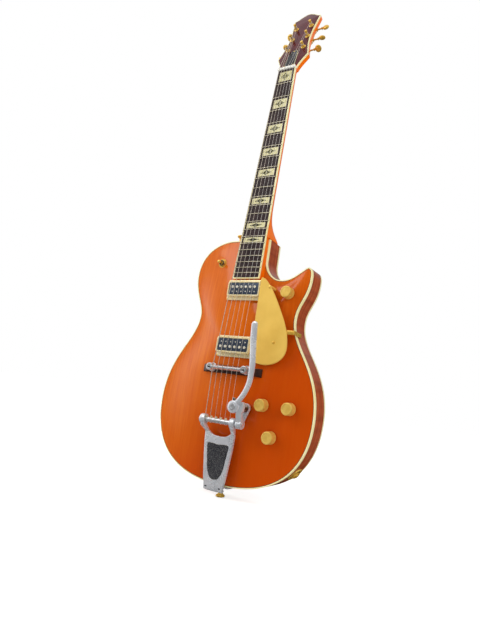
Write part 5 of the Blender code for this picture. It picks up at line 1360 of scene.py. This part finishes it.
def makeSaddle():
    # slim bar with sloping flanks, a slot for each string and a round post at each end
    low, crest, wide, narrow = (saddleForm[key] for key in ("low", "crest", "halfWidth", "crestHalf"))
    stations = [(x, crest) for x in (-0.0316, -0.0300, 0.0300, 0.0316)]
    for number, diameter in enumerate(stringForm["diameters"], 1):
        x, half = stringShare(number) * bridgeSpread / 2, diameter / 2 + 0.00022
        floor = stringHeight - diameter / 2 - saddleForm["slotDepth"]
        stations += [(x - half - 0.00005, crest), (x - half, floor)]
        stations += [(x + half, floor), (x + half + 0.00005, crest)]
    rings = []
    for x, top in sorted(stations):
        flank = min(wide, narrow + (wide - narrow) * (crest - top) / (crest - 0.0290))
        half = [(wide - 0.0005, low), (wide, low + 0.0005), (wide, 0.0282), (wide - 0.0001, 0.0287),
                (wide - 0.0003, 0.0290), (flank + 0.0004, top - 0.0004), (flank + 0.0001, top - 0.0001),
                (flank - 0.0003, top)]
        rings.append([(x, front(h), z) for z, h in half] + [(x, front(h), -z) for z, h in reversed(half)])
    bm = bmesh.new()
    addLoft(bm, rings)
    post = [(0.0023, 0), (0.0061, 0), (0.0065, 0.0004), (0.0066, 0.0009), (0.0066, 0.0080), (0.0065, 0.0088),
            (0.0061, 0.0093), (0.0055, 0.0095), (0.0031, 0.0095), (0.0026, 0.0093), (0.0023, 0.0088)]
    for x in (-bridgePostX, bridgePostX):
        addLathe(bm, (x, front(low), 0), toFront, post, 56, True)
    formPiece("saddleBar", bm, 32, "chrome", "saddle", ("bridge_saddle",))


def makeBridge():
    middle, half = bridgeForm["middle"], bridgeForm["half"]
    length, count = bridgeForm["length"], bridgeForm["stations"]
    rings = []
    for i in range(count + 1):
        x = -length / 2 + length * i / count
        low = [arch(x, z) + gap for z in (middle - half, middle + half)]
        thin = max(arch(x, middle) + gap, max(low)) + 0.0025
        # full height in the middle, thin wings at both ends
        high = bridgeForm["height"]
        high += (thin - high) * smoothStep(max(0.0, (abs(x) - 0.048) / 0.0133))
        edge = min(bridgeForm["edge"], (high - max(low)) * 0.6)
        section = [(high - edge * (1 - math.sin(turn)), half - 0.0006 - edge * (1 - math.cos(turn)))
                   for turn in quarterTurns(5)]
        ring = [(x, front(low[0]), middle - half)]
        ring += [(x, front(level), middle - wide) for level, wide in section]
        ring += [(x, front(level), middle + wide) for level, wide in reversed(section)]
        rings.append(ring + [(x, front(low[1]), middle + half)])
    bm = bmesh.new()
    addLoft(bm, rings)
    formPiece("bridgeFoot", bm, 40, "bridge", replaced=("bridge_base",))
    thread, level = [(0.0016, 0)], 0.0
    while level < 0.0188:
        thread += [(0.0020, level + 0.0002), (0.0016, level + 0.0005)]
        level += 0.0006
    thread += [(0.0018, 0.0195), (0.0012, 0.0200)]
    bm = bmesh.new()
    for x in (-bridgePostX, bridgePostX):
        addLathe(bm, (x, front(0.0165), 0), toFront, thread, 20)
    formPiece("bridgeStuds", bm, 40, "steel")
    rim = [(0.0076, 0, 0), (0.0080, 0.0004, 0.0002), (0.0080, 0.0007, 0.0005), (0.0080, 0.0023, 0.0005),
           (0.0080, 0.0026, 0.0002), (0.0076, 0.0030, 0), (0.0050, 0.0030, 0)]
    for label, x in (("bass", -bridgePostX), ("treble", bridgePostX)):
        bm = bmesh.new()
        addFluted(bm, (x, front(0.0208), 0), toFront, rim, 36, 144)
        formPiece("wheel" + label.title(), bm, 40, "chrome", "wheel_" + label, ("thumbwheel_" + label,))
    makeSaddle()


makeBridge()
print("bridge done")


# Vibrato

vibratoForm = {"ridges": 30, "ridge": 0.00014, "frameEdge": 0.0008, "pinSpread": 0.92, "pinLean": 15,
               "springTurns": 5, "springRadius": 0.0058, "springWire": 0.0011}


def frameHeight(z):
    # the frame's front face rises from the tail to the string bar
    return 0.0172 + (0.0215 - 0.0172) * (z + 0.2035) / (-0.108 + 0.2035)


def barX(number):
    # where a string leaves the bar; a little closer together than at the bridge
    return stringShare(number) * stringSpread(barZ) / 2 * vibratoForm["pinSpread"]


def mirrored(half):
    # the other half of a symmetrical outline, from the last point back to the first
    return half + [(-x, z) for x, z in reversed(half) if x > 1e-6]


def insertOutline():
    return mirrored(smoothAlong([(0, -0.1858), (0.0050, -0.1850), (0.0097, -0.1820), (0.0149, -0.1730),
                                 (0.0174, -0.1640), (0.0197, -0.1490), (0.0224, -0.1330), (0.0222, -0.1290),
                                 (0.0200, -0.1270), (0.0120, -0.1268), (0, -0.1280)], 4))


def slopedRings(outline, levels):
    # rings of a plate along the frame's sloping face; levels: (height over the face, inset)
    return [[(x, front(frameHeight(z) + level), z) for x, z in inset(outline, pull)]
            for level, pull in levels]


def roundedBlock(bm, stations, count=28, power=0.45):
    # a smooth arm: each station is a centre and its two half extents, as vectors
    loops = []
    for centre, wide, tall in stations:
        loop = []
        for k in range(count):
            turn = 2 * math.pi * k / count
            loop.append(Vector(centre) + Vector(wide) * pushed(math.cos(turn), power)
                        + Vector(tall) * pushed(math.sin(turn), power))
        loops.append(loop)
    addLoft(bm, loops)


def makeFrameCasting(insertShape):
    side = smoothAlong([(0.0183, -0.2035), (0.0200, -0.1930), (0.0222, -0.1830), (0.0265, -0.1510),
                        (0.0290, -0.1300), (0.0298, -0.1190), (0.0303, -0.1085)], 5)
    mouth = smoothAlong([(0.0240, -0.1078), (0.0212, -0.1092), (0.0180, -0.1119), (0.0105, -0.1144),
                         (0, -0.1151)], 5)
    outline = mirrored([(0.0172, -0.2035)] + side[1:] + [(0.0298, -0.1080)] + mouth)
    edge = vibratoForm["frameEdge"]
    levels = [(-0.0050, 0.0004), (-0.0046, 0.0)]
    levels += [(-edge * (1 - math.sin(turn)), edge * (1 - math.cos(turn))) for turn in quarterTurns(4)]
    bm = bmesh.new()
    addLoft(bm, slopedRings(outline, levels))
    plate = formPiece("framePlate", bm, 34, "cast", replaced=("vibrato_frame",))
    pocket = bmesh.new()
    addLoft(pocket, slopedRings(insertShape, [(-0.0011, 0), (0.0100, 0)]))
    cut(plate, pocket)
    makeHorns()
    makeEar()


def makeHorns():
    # a bearing ring for the string bar on each side, with its arm from the frame
    ring = [(0.0039, 0), (0.0080, 0), (0.0086, 0.0004), (0.0088, 0.0012), (0.0088, 0.0080), (0.0086, 0.0087),
            (0.0081, 0.0092), (0.0074, 0.0093), (0.0061, 0.0093), (0.0057, 0.0089), (0.0055, 0.0080),
            (0.0039, 0.0078)]
    bm = bmesh.new()
    for sign in (-1, 1):
        addLathe(bm, (sign * 0.0262, front(barHeight), barZ), (sign, 0, 0), ring, 56, True)
        stations = []
        for k in range(13):
            share = k / 12
            bend = smoothStep(share)
            x, z = 0.0264 + (0.0308 - 0.0264) * bend, -0.1130 + (-0.0955 + 0.1130) * share
            height = 0.0190 + (0.0290 - 0.0190) * bend - 0.0010 * math.sin(math.pi * share)
            lean, tall = 0.9 * math.sin(math.pi * share * 0.8), 0.0021 + 0.0046 * bend ** 1.4
            stations.append(((sign * x, front(height), z), (sign * 0.0038, 0, 0),
                             (0, -tall * math.cos(lean), -tall * math.sin(lean) * 0.6)))
        roundedBlock(bm, stations)
    formPiece("frameHorns", bm, 38, "cast")


def makeEar():
    # the flat ear with the spring's cup, and the hinge's knuckles at the tail
    corners = [(0.0290, -0.0940), (0.0380, -0.0940), (0.0495, -0.0670), (0.0495, -0.0600), (0.0420, -0.0548),
               (0.0345, -0.0580), (0.0290, -0.0840)]
    ear = []
    for i, here in enumerate(corners):
        before, after = Vector(corners[i - 1]), Vector(corners[(i + 1) % len(corners)])
        here = Vector(here)
        one, two = here + (before - here) * 0.28, here + (after - here) * 0.28
        for k in range(7):
            t = k / 6
            ear.append(tuple(one * (1 - t) ** 2 + here * 2 * t * (1 - t) + two * t * t))
    bm = bmesh.new()
    addPlate(bm, ear, front(0.0168), front(0.0143), 0.0006)
    roundedBlock(bm, [((0.0320, front(h), -0.08975), (0.0030, 0, 0), (0, 0, 0.00375))
                      for h in (0.0150, 0.0180, 0.0220, 0.0258)], power=0.5)
    addLathe(bm, (springX, front(0.0143), springZ), toFront,
             [(0, 0), (0.0078, 0), (0.0082, 0.0004), (0.0082, 0.0049), (0.0080, 0.0053), (0.0076, 0.0055),
              (0.0074, 0.0053), (0.0073, 0.0050), (0.0073, 0.0029), (0, 0.0029)], 48)
    for sign in (-1, 1):
        addLathe(bm, (sign * 0.0073, front(0.0105), -0.2015), (sign, 0, 0),
                 [(0.0017, 0), (0.0034, 0), (0.0038, 0.0004), (0.0038, 0.0088), (0.0034, 0.0092),
                  (0.0017, 0.0092)], 32, True)
        roundedBlock(bm, [((sign * 0.0119, front(h), -0.2010), (0.0046, 0, 0), (0, 0, 0.0024))
                          for h in (0.0112, 0.0142)])
    formPiece("frameEar", bm, 34, "cast")


def makeRockerCasting():
    bm = bmesh.new()
    addLathe(bm, (0.0375, front(barHeight), barZ), (1, 0, 0),
             [(0.0038, 0), (0.0066, 0), (0.0072, 0.0003), (0.0075, 0.0009), (0.0075, 0.0100),
              (0.0073, 0.0106), (0.0068, 0.0110), (0.0050, 0.0110), (0.0047, 0.0107), (0.0038, 0.0107)],
             56, True)
    stations = []
    for k in range(15):
        share = k / 14
        bend = smoothStep(share)
        centre = (0.0430, front(0.0300 + (0.0361 - 0.0300) * bend), -0.0880 + (-0.0680 + 0.0880) * share)
        tall = (0, -(0.0056 - 0.0028 * bend), -0.0016 * math.sin(math.pi * share))
        stations.append((centre, (0.0055, 0, 0), tall))
    roundedBlock(bm, stations)
    pad = rounded((0.0260, -0.0705), (0.0510, -0.0525), 0.0045, 10)
    addPlate(bm, pad, front(0.0390), front(0.0336), 0.0009)
    addLathe(bm, (handleX, front(0.0370), handleZ), toFront, [(0.0040, 0), (0.0040, 0.0085), (0, 0.0086)], 32)
    formPiece("rockerCasting", bm, 36, "cast", "rocker", ("rocker_arm",))
    bm = bmesh.new()
    addLathe(bm, (0.0290, front(0.0354), -0.0535), (0, 0, 1),
             [(0.0030, 0), (0.0030, 0.0056), (0.0027, 0.0060), (0.0014, 0.0060), (0.0011, 0.0052),
              (0, 0.0052)], 30)
    addLathe(bm, (0.0483, front(barHeight), barZ), (1, 0, 0),
             [(0.0036, 0), (0.0036, 0.0006), (0.0030, 0.0011), (0.0012, 0.0011), (0.0010, 0.0005),
              (0, 0.0005)], 30)
    formPiece("rockerBolts", bm, 35, "steel", "rocker")


def makeInsert(insertShape):
    # dark face in the frame's pocket, with a bright border and fine ribs
    levels = [(-0.0009, 0), (0.0000, 0), (0.0002, 0.0003), (0.0002, 0.0010), (-0.0001, 0.0012)]
    bm = bmesh.new()
    addLoft(bm, slopedRings(insertShape, [(level - 0.0003, pull + 0.0001) for level, pull in levels]))
    formPiece("insertBorder", bm, 40, "steel", replaced=("frame_insert",))
    inner = inset(insertShape, 0.0012)
    bm = bmesh.new()
    addLoft(bm, slopedRings(inner, [(-0.0008, 0), (-0.0002, 0)]))
    formPiece("insertFace", bm, 40, "black")
    lines = []
    for i in range(vibratoForm["ridges"]):
        z = -0.1835 + (0.1835 - 0.1295) * i / (vibratoForm["ridges"] - 1)
        reach = max((x for x, here in inner if abs(here - z) < 0.0025), default=0) - 0.0008
        if reach > 0.001:
            lines.append([(-reach + 2 * reach * k / 6, front(frameHeight(z) - 0.0002), z) for k in range(7)])
    pathPiece("insertRidges", lines, vibratoForm["ridge"], "steel", sides=8)

    # two flat black plates stand in for the shade inside two notches at the frame's tail: painted shade
    bm = bmesh.new()
    for x in (-0.014, 0.014):
        notch = rounded((x - 0.0022, -0.1992), (x + 0.0022, -0.1970), 0.0009)
        addLoft(bm, slopedRings(notch, [(-0.0006, 0), (0.00005, 0)]))
    formPiece("frameNotches", bm, 40, "black")


def makeStringBar():
    bm = bmesh.new()
    steps = smoothAlong([(0.0028, 0), (0.0034, 0.0002), (0.0036, 0.0006)], 2)
    steps += [(0.0036, 0.0103), (0.0042, 0.0103), (0.0042, 0.0617), (0.0036, 0.0617), (0.0036, 0.0849),
              (0.0032, 0.0854), (0, 0.0855)]
    addLathe(bm, (-0.036, front(barHeight), barZ), (1, 0, 0), steps, 40)
    balls = bmesh.new()
    lean = math.radians(vibratoForm["pinLean"])
    direction = Vector((0, -math.sin(lean), math.cos(lean)))
    for number in range(1, 7):
        middle = Vector((barX(number), front(barHeight), barZ))
        addLathe(bm, middle, direction, [(0.0009, 0), (0.0009, 0.0066), (0.0006, 0.0070), (0, 0.0070)], 14)
        addLathe(balls, middle + direction * 0.0043, direction,
                 [(0.00095, 0), (0.0019, 0), (0.0021, 0.0004), (0.0021, 0.0016), (0.0019, 0.0020),
                  (0.00095, 0.0020)], 20, True)
    formPiece("stringBarSteel", bm, 40, "chrome", "rocker", ("string_bar",))
    formPiece("ballEnds", balls, 40, "paintedReflectionGold", "rocker")


def makeHandle():
    bm = bmesh.new()
    middle = 0.039 + gap + 0.003
    # x, z, rise and width along the bar
    route = [(0.0385, -0.0565, 0, 0.0088), (0.0455, -0.0480, 0.0002, 0.0086),
             (0.0530, -0.0365, 0.0008, 0.0090), (0.0587, -0.0220, 0.0015, 0.0095),
             (0.0607, -0.0060, 0.0022, 0.0100),
             (0.0606, 0.0120, 0.0030, 0.0106), (0.0587, 0.0310, 0.0037, 0.0110),
             (0.0566, 0.0500, 0.0043, 0.0114), (0.0555, 0.0660, 0.0048, 0.0116),
             (0.0552, 0.0760, 0.0051, 0.0113)]
    line = smoothAlong(route, 6)
    stations = []
    for i, (x, z, rise, width) in enumerate(line):
        before, after = line[max(i - 1, 0)], line[min(i + 1, len(line) - 1)]
        along = Vector((after[0] - before[0], 0, after[1] - before[1])).normalized()
        stations.append((Vector((x, front(middle + rise), z)), along, width / 2, 0.0027))
    end, along, lastHalf, lastThick = stations[-1]
    for turn in quarterTurns(8)[1:]:
        stations.append((end + along * 0.0054 * math.sin(turn), along, max(lastHalf * math.cos(turn), 0.0006),
                         max(lastThick * math.cos(turn) ** 0.6, 0.0005)))
    loops = []
    for centre, along, halfWide, thick in stations:
        across = Vector((along.z, 0, -along.x))
        loop = []
        for k in range(28):
            turn = 2 * math.pi * k / 28
            loop.append(centre + across * (pushed(math.cos(turn), 0.6) * halfWide)
                        + Vector((0, pushed(math.sin(turn), 0.75) * thick, 0)))
        loops.append(loop)
    addLoft(bm, loops)
    addLathe(bm, (handleX, front(0.0393), handleZ), toFront,
             [(0.0043, 0), (0.0098, 0), (0.0102, 0.0004), (0.0102, 0.0046), (0.0099, 0.0055),
              (0.0092, 0.0060), (0.0043, 0.0060)], 48, True)
    formPiece("handleBar", bm, 42, "cast", "handle", ("handle",))
    bm = bmesh.new()
    addLathe(bm, (handleX, front(0.0448), handleZ), toFront,
             [(0.0058, 0), (0.0058, 0.0012), (0.0053, 0.0018), (0.0030, 0.0020), (0.0027, 0.0012),
              (0, 0.0012)], 36)
    formPiece("handleStudHead", bm, 35, "chrome", "rocker")


def makeSpring():
    wire, radius, turns = (vibratoForm[key] for key in ("springWire", "springRadius", "springTurns"))
    low, high, perTurn = 0.0176 + wire, 0.0333 - wire, 36
    points = []
    for i in range(turns * perTurn + 1):
        turn = 2 * math.pi * i / perTurn
        points.append((springX + radius * math.cos(turn), front(low + (high - low) * i / (turns * perTurn)),
                       springZ + radius * math.sin(turn)))
    coil = pathPiece("springCoil", [points], wire, "steel", None, ("vibrato_spring",), 14)
    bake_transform(coil)


def makeVibrato():
    insertShape = insertOutline()
    makeFrameCasting(insertShape)
    makeRockerCasting()
    easedPiece("hingeFoot", "hinge_plate", "cast", 0.0005)
    makeInsert(insertShape)
    makeStringBar()
    makeHandle()
    makeSpring()


makeVibrato()
print("vibrato done")


# Controls

knobPlaces = {"knob_master": (0.0898, 0.1402), "knob_neck_volume": (0.0732, -0.0539),
              "knob_bridge_volume": (0.1210, -0.0541), "knob_tone": (0.0927, -0.1035)}
knobForm = {"flutes": 22, "fluteDepth": 0.0007, "lift": 0.0036}
switchPlace = (-0.0685, 0.2005)


def makeKnobs():
    washers, nuts = bmesh.new(), bmesh.new()
    deep = knobForm["fluteDepth"]
    profile = [(0.0097, 0, 0), (0.0103, 0.0003, 0), (0.0105, 0.0008, 0), (0.0105, 0.0016, 0),
               (0.0104, 0.0020, 0), (0.0104, 0.0026, deep), (0.0102, 0.0115, deep), (0.0102, 0.0121, 0),
               (0.0102, 0.0132, 0), (0.0099, 0.0139, 0), (0.0094, 0.0143, 0), (0.0087, 0.0145, 0),
               (0.0080, 0.0145, 0), (0.0076, 0.0142, 0), (0.0073, 0.0139, 0), (0.0070, 0.0139, 0),
               (0.0050, 0.0140, 0), (0.0025, 0.0140, 0), (0.0005, 0.0140, 0)]
    for name, (x, z) in knobPlaces.items():
        top = arch(x, z)
        bm = bmesh.new()
        addFluted(bm, (x, front(top + knobForm["lift"]), z), toFront, profile, knobForm["flutes"], 176)
        formPiece(name.replace("_", "") + "Cap", bm, 34, "knob", name, (name,))
        addLathe(washers, (x, front(top - 0.0004), z), toFront,
                 [(0.0042, 0), (0.0078, 0), (0.0080, 0.0006), (0.0078, 0.0012), (0.0042, 0.0012)], 32, True)
        addLathe(nuts, (x, front(top + 0.0008), z), toFront,
                 [(0.0040, 0), (0.0062, 0), (0.0062, 0.0018), (0.0056, 0.0022), (0.0040, 0.0022)], 6, True)
    formPiece("potWashers", washers, 35, "steel")
    formPiece("potNuts", nuts, 30, "steel")


def makeSwitch():
    x, z = switchPlace
    top = arch(x, z)
    bm = bmesh.new()
    addLathe(bm, (x, front(top - 0.0006), z), toFront,
             [(0.0056, 0), (0.0088, 0), (0.0091, 0.0006), (0.0088, 0.0015), (0.0056, 0.0015)], 40, True)
    formPiece("switchWasher", bm, 35, "gold")
    bm = bmesh.new()
    addFluted(bm, (x, front(top + 0.0009), z), toFront,
              [(0.0066, 0, 0), (0.0070, 0.0003, 0.0004), (0.0070, 0.0020, 0.0004), (0.0066, 0.0025, 0),
               (0.0058, 0.0027, 0), (0.0056, 0.0025, 0), (0.0044, 0.0025, 0), (0.0042, 0.0010, 0),
               (0.0030, 0.0010, 0)], 30, 120)
    formPiece("switchNut", bm, 34, "gold")
    profile = smoothAlong([(0, -0.0038), (0.0022, -0.0034), (0.0036, -0.0012), (0.0039, 0), (0.0034, 0.0020),
                           (0.0016, 0.0036), (0.0014, 0.0060), (0.0014, 0.0120), (0.0018, 0.0130),
                           (0.0026, 0.0152), (0.0031, 0.0178), (0.0030, 0.0193), (0.0020, 0.0206),
                           (0, 0.0210)], 4)
    bm = bmesh.new()
    addLathe(bm, (x, front(-0.004), z), toFront, profile, 32)
    formPiece("switchLever", bm, 45, "gold", "toggle", ("toggle_lever",))


def makeJack():
    place, normal = jackPlace()
    bm = bmesh.new()
    addLathe(bm, place + normal * 0.0001, normal,
             [(0.0053, 0), (0.0135, 0), (0.0135, 0.0014), (0.0133, 0.0019), (0.0127, 0.0022),
              (0.0119, 0.0021), (0.0112, 0.0015), (0.0106, 0.0008), (0.0098, 0.0005), (0.0053, 0.0005)],
             56, True)
    formPiece("jackPlateGold", bm, 35, "gold", replaced=("jack_plate",))
    # a thin black ring laid in the plate's dish: painted shade standing in for the dark inside of the
    # recessed cup
    bm = bmesh.new()
    addLathe(bm, place + normal * 0.0006, normal,
             [(0.0060, 0), (0.0100, 0), (0.0102, 0.0001), (0.0100, 0.0003), (0.0060, 0.0003)], 48, True)
    formPiece("jackGasket", bm, 35, "black")
    bm = bmesh.new()
    sleeve = [(0.0032, 0.0030), (0.0042, 0.0030), (0.0045, 0.0027), (0.0048, 0.0022), (0.0048, -0.0140),
              (0.0070, -0.0140), (0.0070, -0.0320), (0.0032, -0.0320)]
    nut = [(0.0046, -0.0018), (0.0074, -0.0018), (0.0074, 0.0014), (0.0068, 0.0018), (0.0046, 0.0018)]
    for profile, sides in ((sleeve, 36), (nut, 6)):
        addLathe(bm, place + normal * 0.0028, normal, profile, sides, True)
    formPiece("jackSocketGold", bm, 35, "gold", replaced=("jack_socket",))


def makeStrapButtons():
    shape = smoothAlong([(0.0055, 0), (0.0046, 0.0016), (0.0038, 0.0040), (0.0036, 0.0080), (0.0046, 0.0112),
                         (0.0074, 0.0134), (0.0080, 0.0148), (0.0072, 0.0162), (0.0040, 0.0168),
                         (0, 0.0170)], 4)
    place, normal = rimPoint(-0.0485, -0.0255, 0.0975, 0.4924)
    for label, base, axis in (("tail", (0, -0.033, -0.1996), (0, 0, -1)),
                              ("shoulder", place + normal * gap, normal)):
        bm = bmesh.new()
        addLathe(bm, base, axis, shape, 36)
        formPiece(label + "Button", bm, 45, "gold", replaced=("strap_button_" + label,))


makeKnobs()
makeSwitch()
makeJack()
makeStrapButtons()
print("controls done")


# Pickguard

guardForm = {"left": 0.0356, "height": 0.020, "thickness": 0.0025, "chamfer": 0.0009,
             "screws": ((0.0562, 0.1484), (0.0797, 0.0512))}


def makeGuard():
    left, level, chamfer = guardForm["left"], guardForm["height"], guardForm["chamfer"]
    nearBridge, belly, flank = (0.0700, 0.0124), (0.1052, 0.0430), (0.0840, 0.1070)
    line = curve((left + 0.005, 0.0195), (left + 0.013, 0.0125), (0.0610, 0.0120), nearBridge, 12)
    line += curve(nearBridge, (0.0890, 0.0140), (0.1050, 0.0250), belly, 16)
    line += curve(belly, (0.1052, 0.0670), (0.0950, 0.0870), flank, 16)
    line += curve(flank, (0.0720, 0.1300), (0.0560, 0.1560), (left + 0.0050, 0.1665), 16)
    line += [(left + 0.0021, 0.1668), (left + 0.0006, 0.1650), (left, 0.1630), (left, 0.1300), (left, 0.0250)]
    bm = bmesh.new()
    addLoft(bm, [[(x, front(level - guardForm["thickness"]), z) for x, z in line],
                 [(x, front(level - chamfer), z) for x, z in line],
                 [(x, front(level - 0.0001), z) for x, z in inset(line, chamfer)],
                 [(x, front(level), z) for x, z in inset(line, chamfer + 0.0002)]])
    for x, z in guardForm["screws"]:
        spacer = level - 0.0024 - arch(x, z)
        addLathe(bm, (x, front(level - 0.0015), z), toBack, [(0.0035, 0), (0.0035, spacer)], 28)
    formPiece("guardPlate", bm, 25, "guard", replaced=("pickguard",))
    places = [((x, front(level), z), toFront, (1, 0, z * 5)) for x, z in guardForm["screws"]]
    repeatPiece("guardScrews", slottedItem(0.0026, 0.0008), places, "gold")
    easedPiece("guardBracket", "pickguard_bracket", "gold", 0.0003)


makeGuard()
print("pickguard done")


# Strings

def makeStrings():
    wrapSteps, turnSteps = stringForm["wrapSteps"], stringForm["turnSteps"]
    for number, side, s in postPlaces():
        radius = stringForm["diameters"][number - 1] / 2
        # round the bar, over the saddle and the nut
        x, barY, reach = barX(number), front(barHeight), 0.0042 + gap + radius
        rise = math.degrees(math.atan2(stringHeight - barHeight - reach, -barZ))
        points = []
        for i in range(wrapSteps + 1):
            turn = math.radians(258 - (258 + rise) * i / wrapSteps)
            points.append(Vector((x, barY - reach * math.cos(turn), barZ - reach * math.sin(turn))))
        leave, crown = points[-1], Vector((stringShare(number) * bridgeSpread / 2, front(stringHeight), 0))
        points += [leave.lerp(crown, k / 40) for k in range(1, 8)] + [crown]
        points.append(neckFrame @ Vector((stringShare(number) * nutSpread / 2, -0.0022, nutThick + gap)))
        # two turns round the post
        winding, pitch = 0.0025 + gap + radius, 2 * radius + 0.00045
        for i in range(2 * turnSteps + 1):
            turn = 2 * math.pi * i / turnSteps
            height = 0.005 + radius + pitch * i / turnSteps
            points.append(headFrame @ Vector((side * (tunerX - winding * math.cos(turn)), -height,
                                              s + winding * math.sin(turn))))
        # thin strings are drawn a little thicker than they are, so that they read at a distance
        made = pathPiece("string%d" % number, [points], max(radius, stringForm["thinnest"]),
                         "wound" if number > 3 else "string", None, ("string_%d" % number,), 10)
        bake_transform(made)


makeStrings()
print("strings done")


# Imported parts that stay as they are

for name, finish in (("truss_rod", "steel"), ("wiring_harness", "black")):
    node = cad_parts[name]
    node.data.materials.clear()
    node.data.materials.append(finishes[finish])


# Floor, light and camera

stageLook = {"floorZ": -0.2168, "floorSize": 6.0, "floorGlow": 0.62, "worldFill": 0.5, "mirrorDark": 0.02,
             "mirrorLeft": 0.35, "mirrorFar": 1.6, "mirrorTop": 0.8}
lightLook = {
    "key": {"place": (-1.0, -1.9, 1.7), "size": (1.4, 1.4), "power": 13.0, "inMirrors": True},
    "soft": {"place": (-1.32, -0.90, 0.35), "size": (1.0, 1.7), "power": 10.0, "inMirrors": False},
    "fill": {"place": (1.7, -1.0, 0.9), "size": (1.2, 1.6), "power": 16.0, "inMirrors": False},
}
lightAim = (0, 0, 0.1)
cameraForm = {"lens": 25.10, "shift": (-0.0882, -0.0103), "place": (0.46123, -0.70669, -0.03615),
              "right": (0.88517, 0.44658, 0.13053), "up": (-0.02966, -0.22582, 0.97372),
              "back": (0.46432, -0.86578, -0.18664)}


def makeFloor():
    # white to the camera all over, still darker where the object shades it
    material, tree, shader, where = startMaterial("paleFloor", {"Roughness": 0.9, "Specular IOR Level": 0.0})
    cloud = noiseAt(tree, where.outputs["Object"], 3.0, 2.0, 0.5)
    colour = mixColour(tree, spread(tree, cloud, 0.3, 0.7), (0.90, 0.90, 0.90, 1), (0.93, 0.93, 0.93, 1))
    rays = tree.nodes.new("ShaderNodeLightPath")
    tree.links.new(colour, shader.inputs["Base Color"])
    glow = addNode(tree, "ShaderNodeMath", {1: stageLook["floorGlow"]}, operation="MULTIPLY")
    tree.links.new(rays.outputs["Is Camera Ray"], glow.inputs[0])
    shader.inputs["Emission Color"].default_value = (1, 1, 1, 1)
    tree.links.new(glow.outputs[0], shader.inputs["Emission Strength"])
    mesh = bpy.data.meshes.new("floor")
    size, z = stageLook["floorSize"], stageLook["floorZ"]
    mesh.from_pydata([(-size, -size, z), (size, -size, z), (size, size, z), (-size, size, z)], [],
                     [(0, 1, 2, 3)])
    floor = addObject("floor", mesh)
    mesh.materials.append(material)
    floor.visible_glossy = False


def makeWorld():
    # white to the camera; a plain grey room to diffuse rays; a room with a pale ceiling and
    # a pale left wall to glossy rays
    world = bpy.data.worlds.new("studio")
    bpy.context.scene.world = world
    world.use_nodes = True
    tree = world.node_tree
    tree.nodes.clear()
    rays = tree.nodes.new("ShaderNodeLightPath")
    where = tree.nodes.new("ShaderNodeTexCoord")
    parts = addNode(tree, "ShaderNodeSeparateXYZ")
    tree.links.new(where.outputs["Generated"], parts.inputs[0])
    left = spread(tree, parts.outputs[0], -0.52, -0.64, stageLook["mirrorDark"], stageLook["mirrorLeft"])
    far = spread(tree, parts.outputs[0], -0.72, -0.95, 0.0, stageLook["mirrorFar"])
    above = spread(tree, parts.outputs[2], 0.25, 0.75, 0.0, stageLook["mirrorTop"])
    walls = addNode(tree, "ShaderNodeMath", operation="ADD")
    tree.links.new(left, walls.inputs[0])
    tree.links.new(far, walls.inputs[1])
    mirror = addNode(tree, "ShaderNodeMath", operation="ADD")
    rising = spread(tree, parts.outputs[2], -0.45, 0.30)
    faded = addNode(tree, "ShaderNodeMath", operation="MULTIPLY")
    tree.links.new(walls.outputs[0], faded.inputs[0])
    tree.links.new(rising, faded.inputs[1])
    tree.links.new(faded.outputs[0], mirror.inputs[0])
    tree.links.new(above, mirror.inputs[1])
    level = addNode(tree, "ShaderNodeMix", {2: stageLook["worldFill"]})
    tree.links.new(rays.outputs["Is Glossy Ray"], level.inputs[0])
    tree.links.new(mirror.outputs[0], level.inputs[3])
    seen = addNode(tree, "ShaderNodeMix", {3: 1.0})
    tree.links.new(rays.outputs["Is Camera Ray"], seen.inputs[0])
    tree.links.new(level.outputs[0], seen.inputs[2])
    sky = addNode(tree, "ShaderNodeBackground", {"Color": (1, 1, 1, 1)})
    tree.links.new(seen.outputs[0], sky.inputs["Strength"])
    result = tree.nodes.new("ShaderNodeOutputWorld")
    tree.links.new(sky.outputs[0], result.inputs["Surface"])


def addLight(name, look):
    light = bpy.data.lights.new(name, "AREA")
    light.shape = "RECTANGLE"
    light.size, light.size_y = look["size"]
    light.energy = look["power"]
    lamp = addObject(name, light)
    lamp.visible_glossy = look["inMirrors"]
    facing = (Vector(lightAim) - Vector(look["place"])).to_track_quat("-Z", "Y")
    lamp.matrix_world = Matrix.Translation(look["place"]) @ facing.to_matrix().to_4x4()


def makeCamera():
    lens = bpy.data.cameras.new("camera")
    lens.sensor_fit = "AUTO"
    lens.sensor_width = 36.0
    lens.lens = cameraForm["lens"]
    lens.shift_x, lens.shift_y = cameraForm["shift"]
    lens.dof.use_dof = False
    camera = addObject("camera", lens)
    turn = Matrix([cameraForm[axis] for axis in ("right", "up", "back")]).transposed().to_4x4()
    camera.matrix_world = Matrix.Translation(cameraForm["place"]) @ turn
    bpy.context.scene.camera = camera


makeFloor()
makeWorld()
for name, look in lightLook.items():
    addLight(name, look)
makeCamera()
bpy.context.scene.view_settings.view_transform = "Standard"
print("stage done")
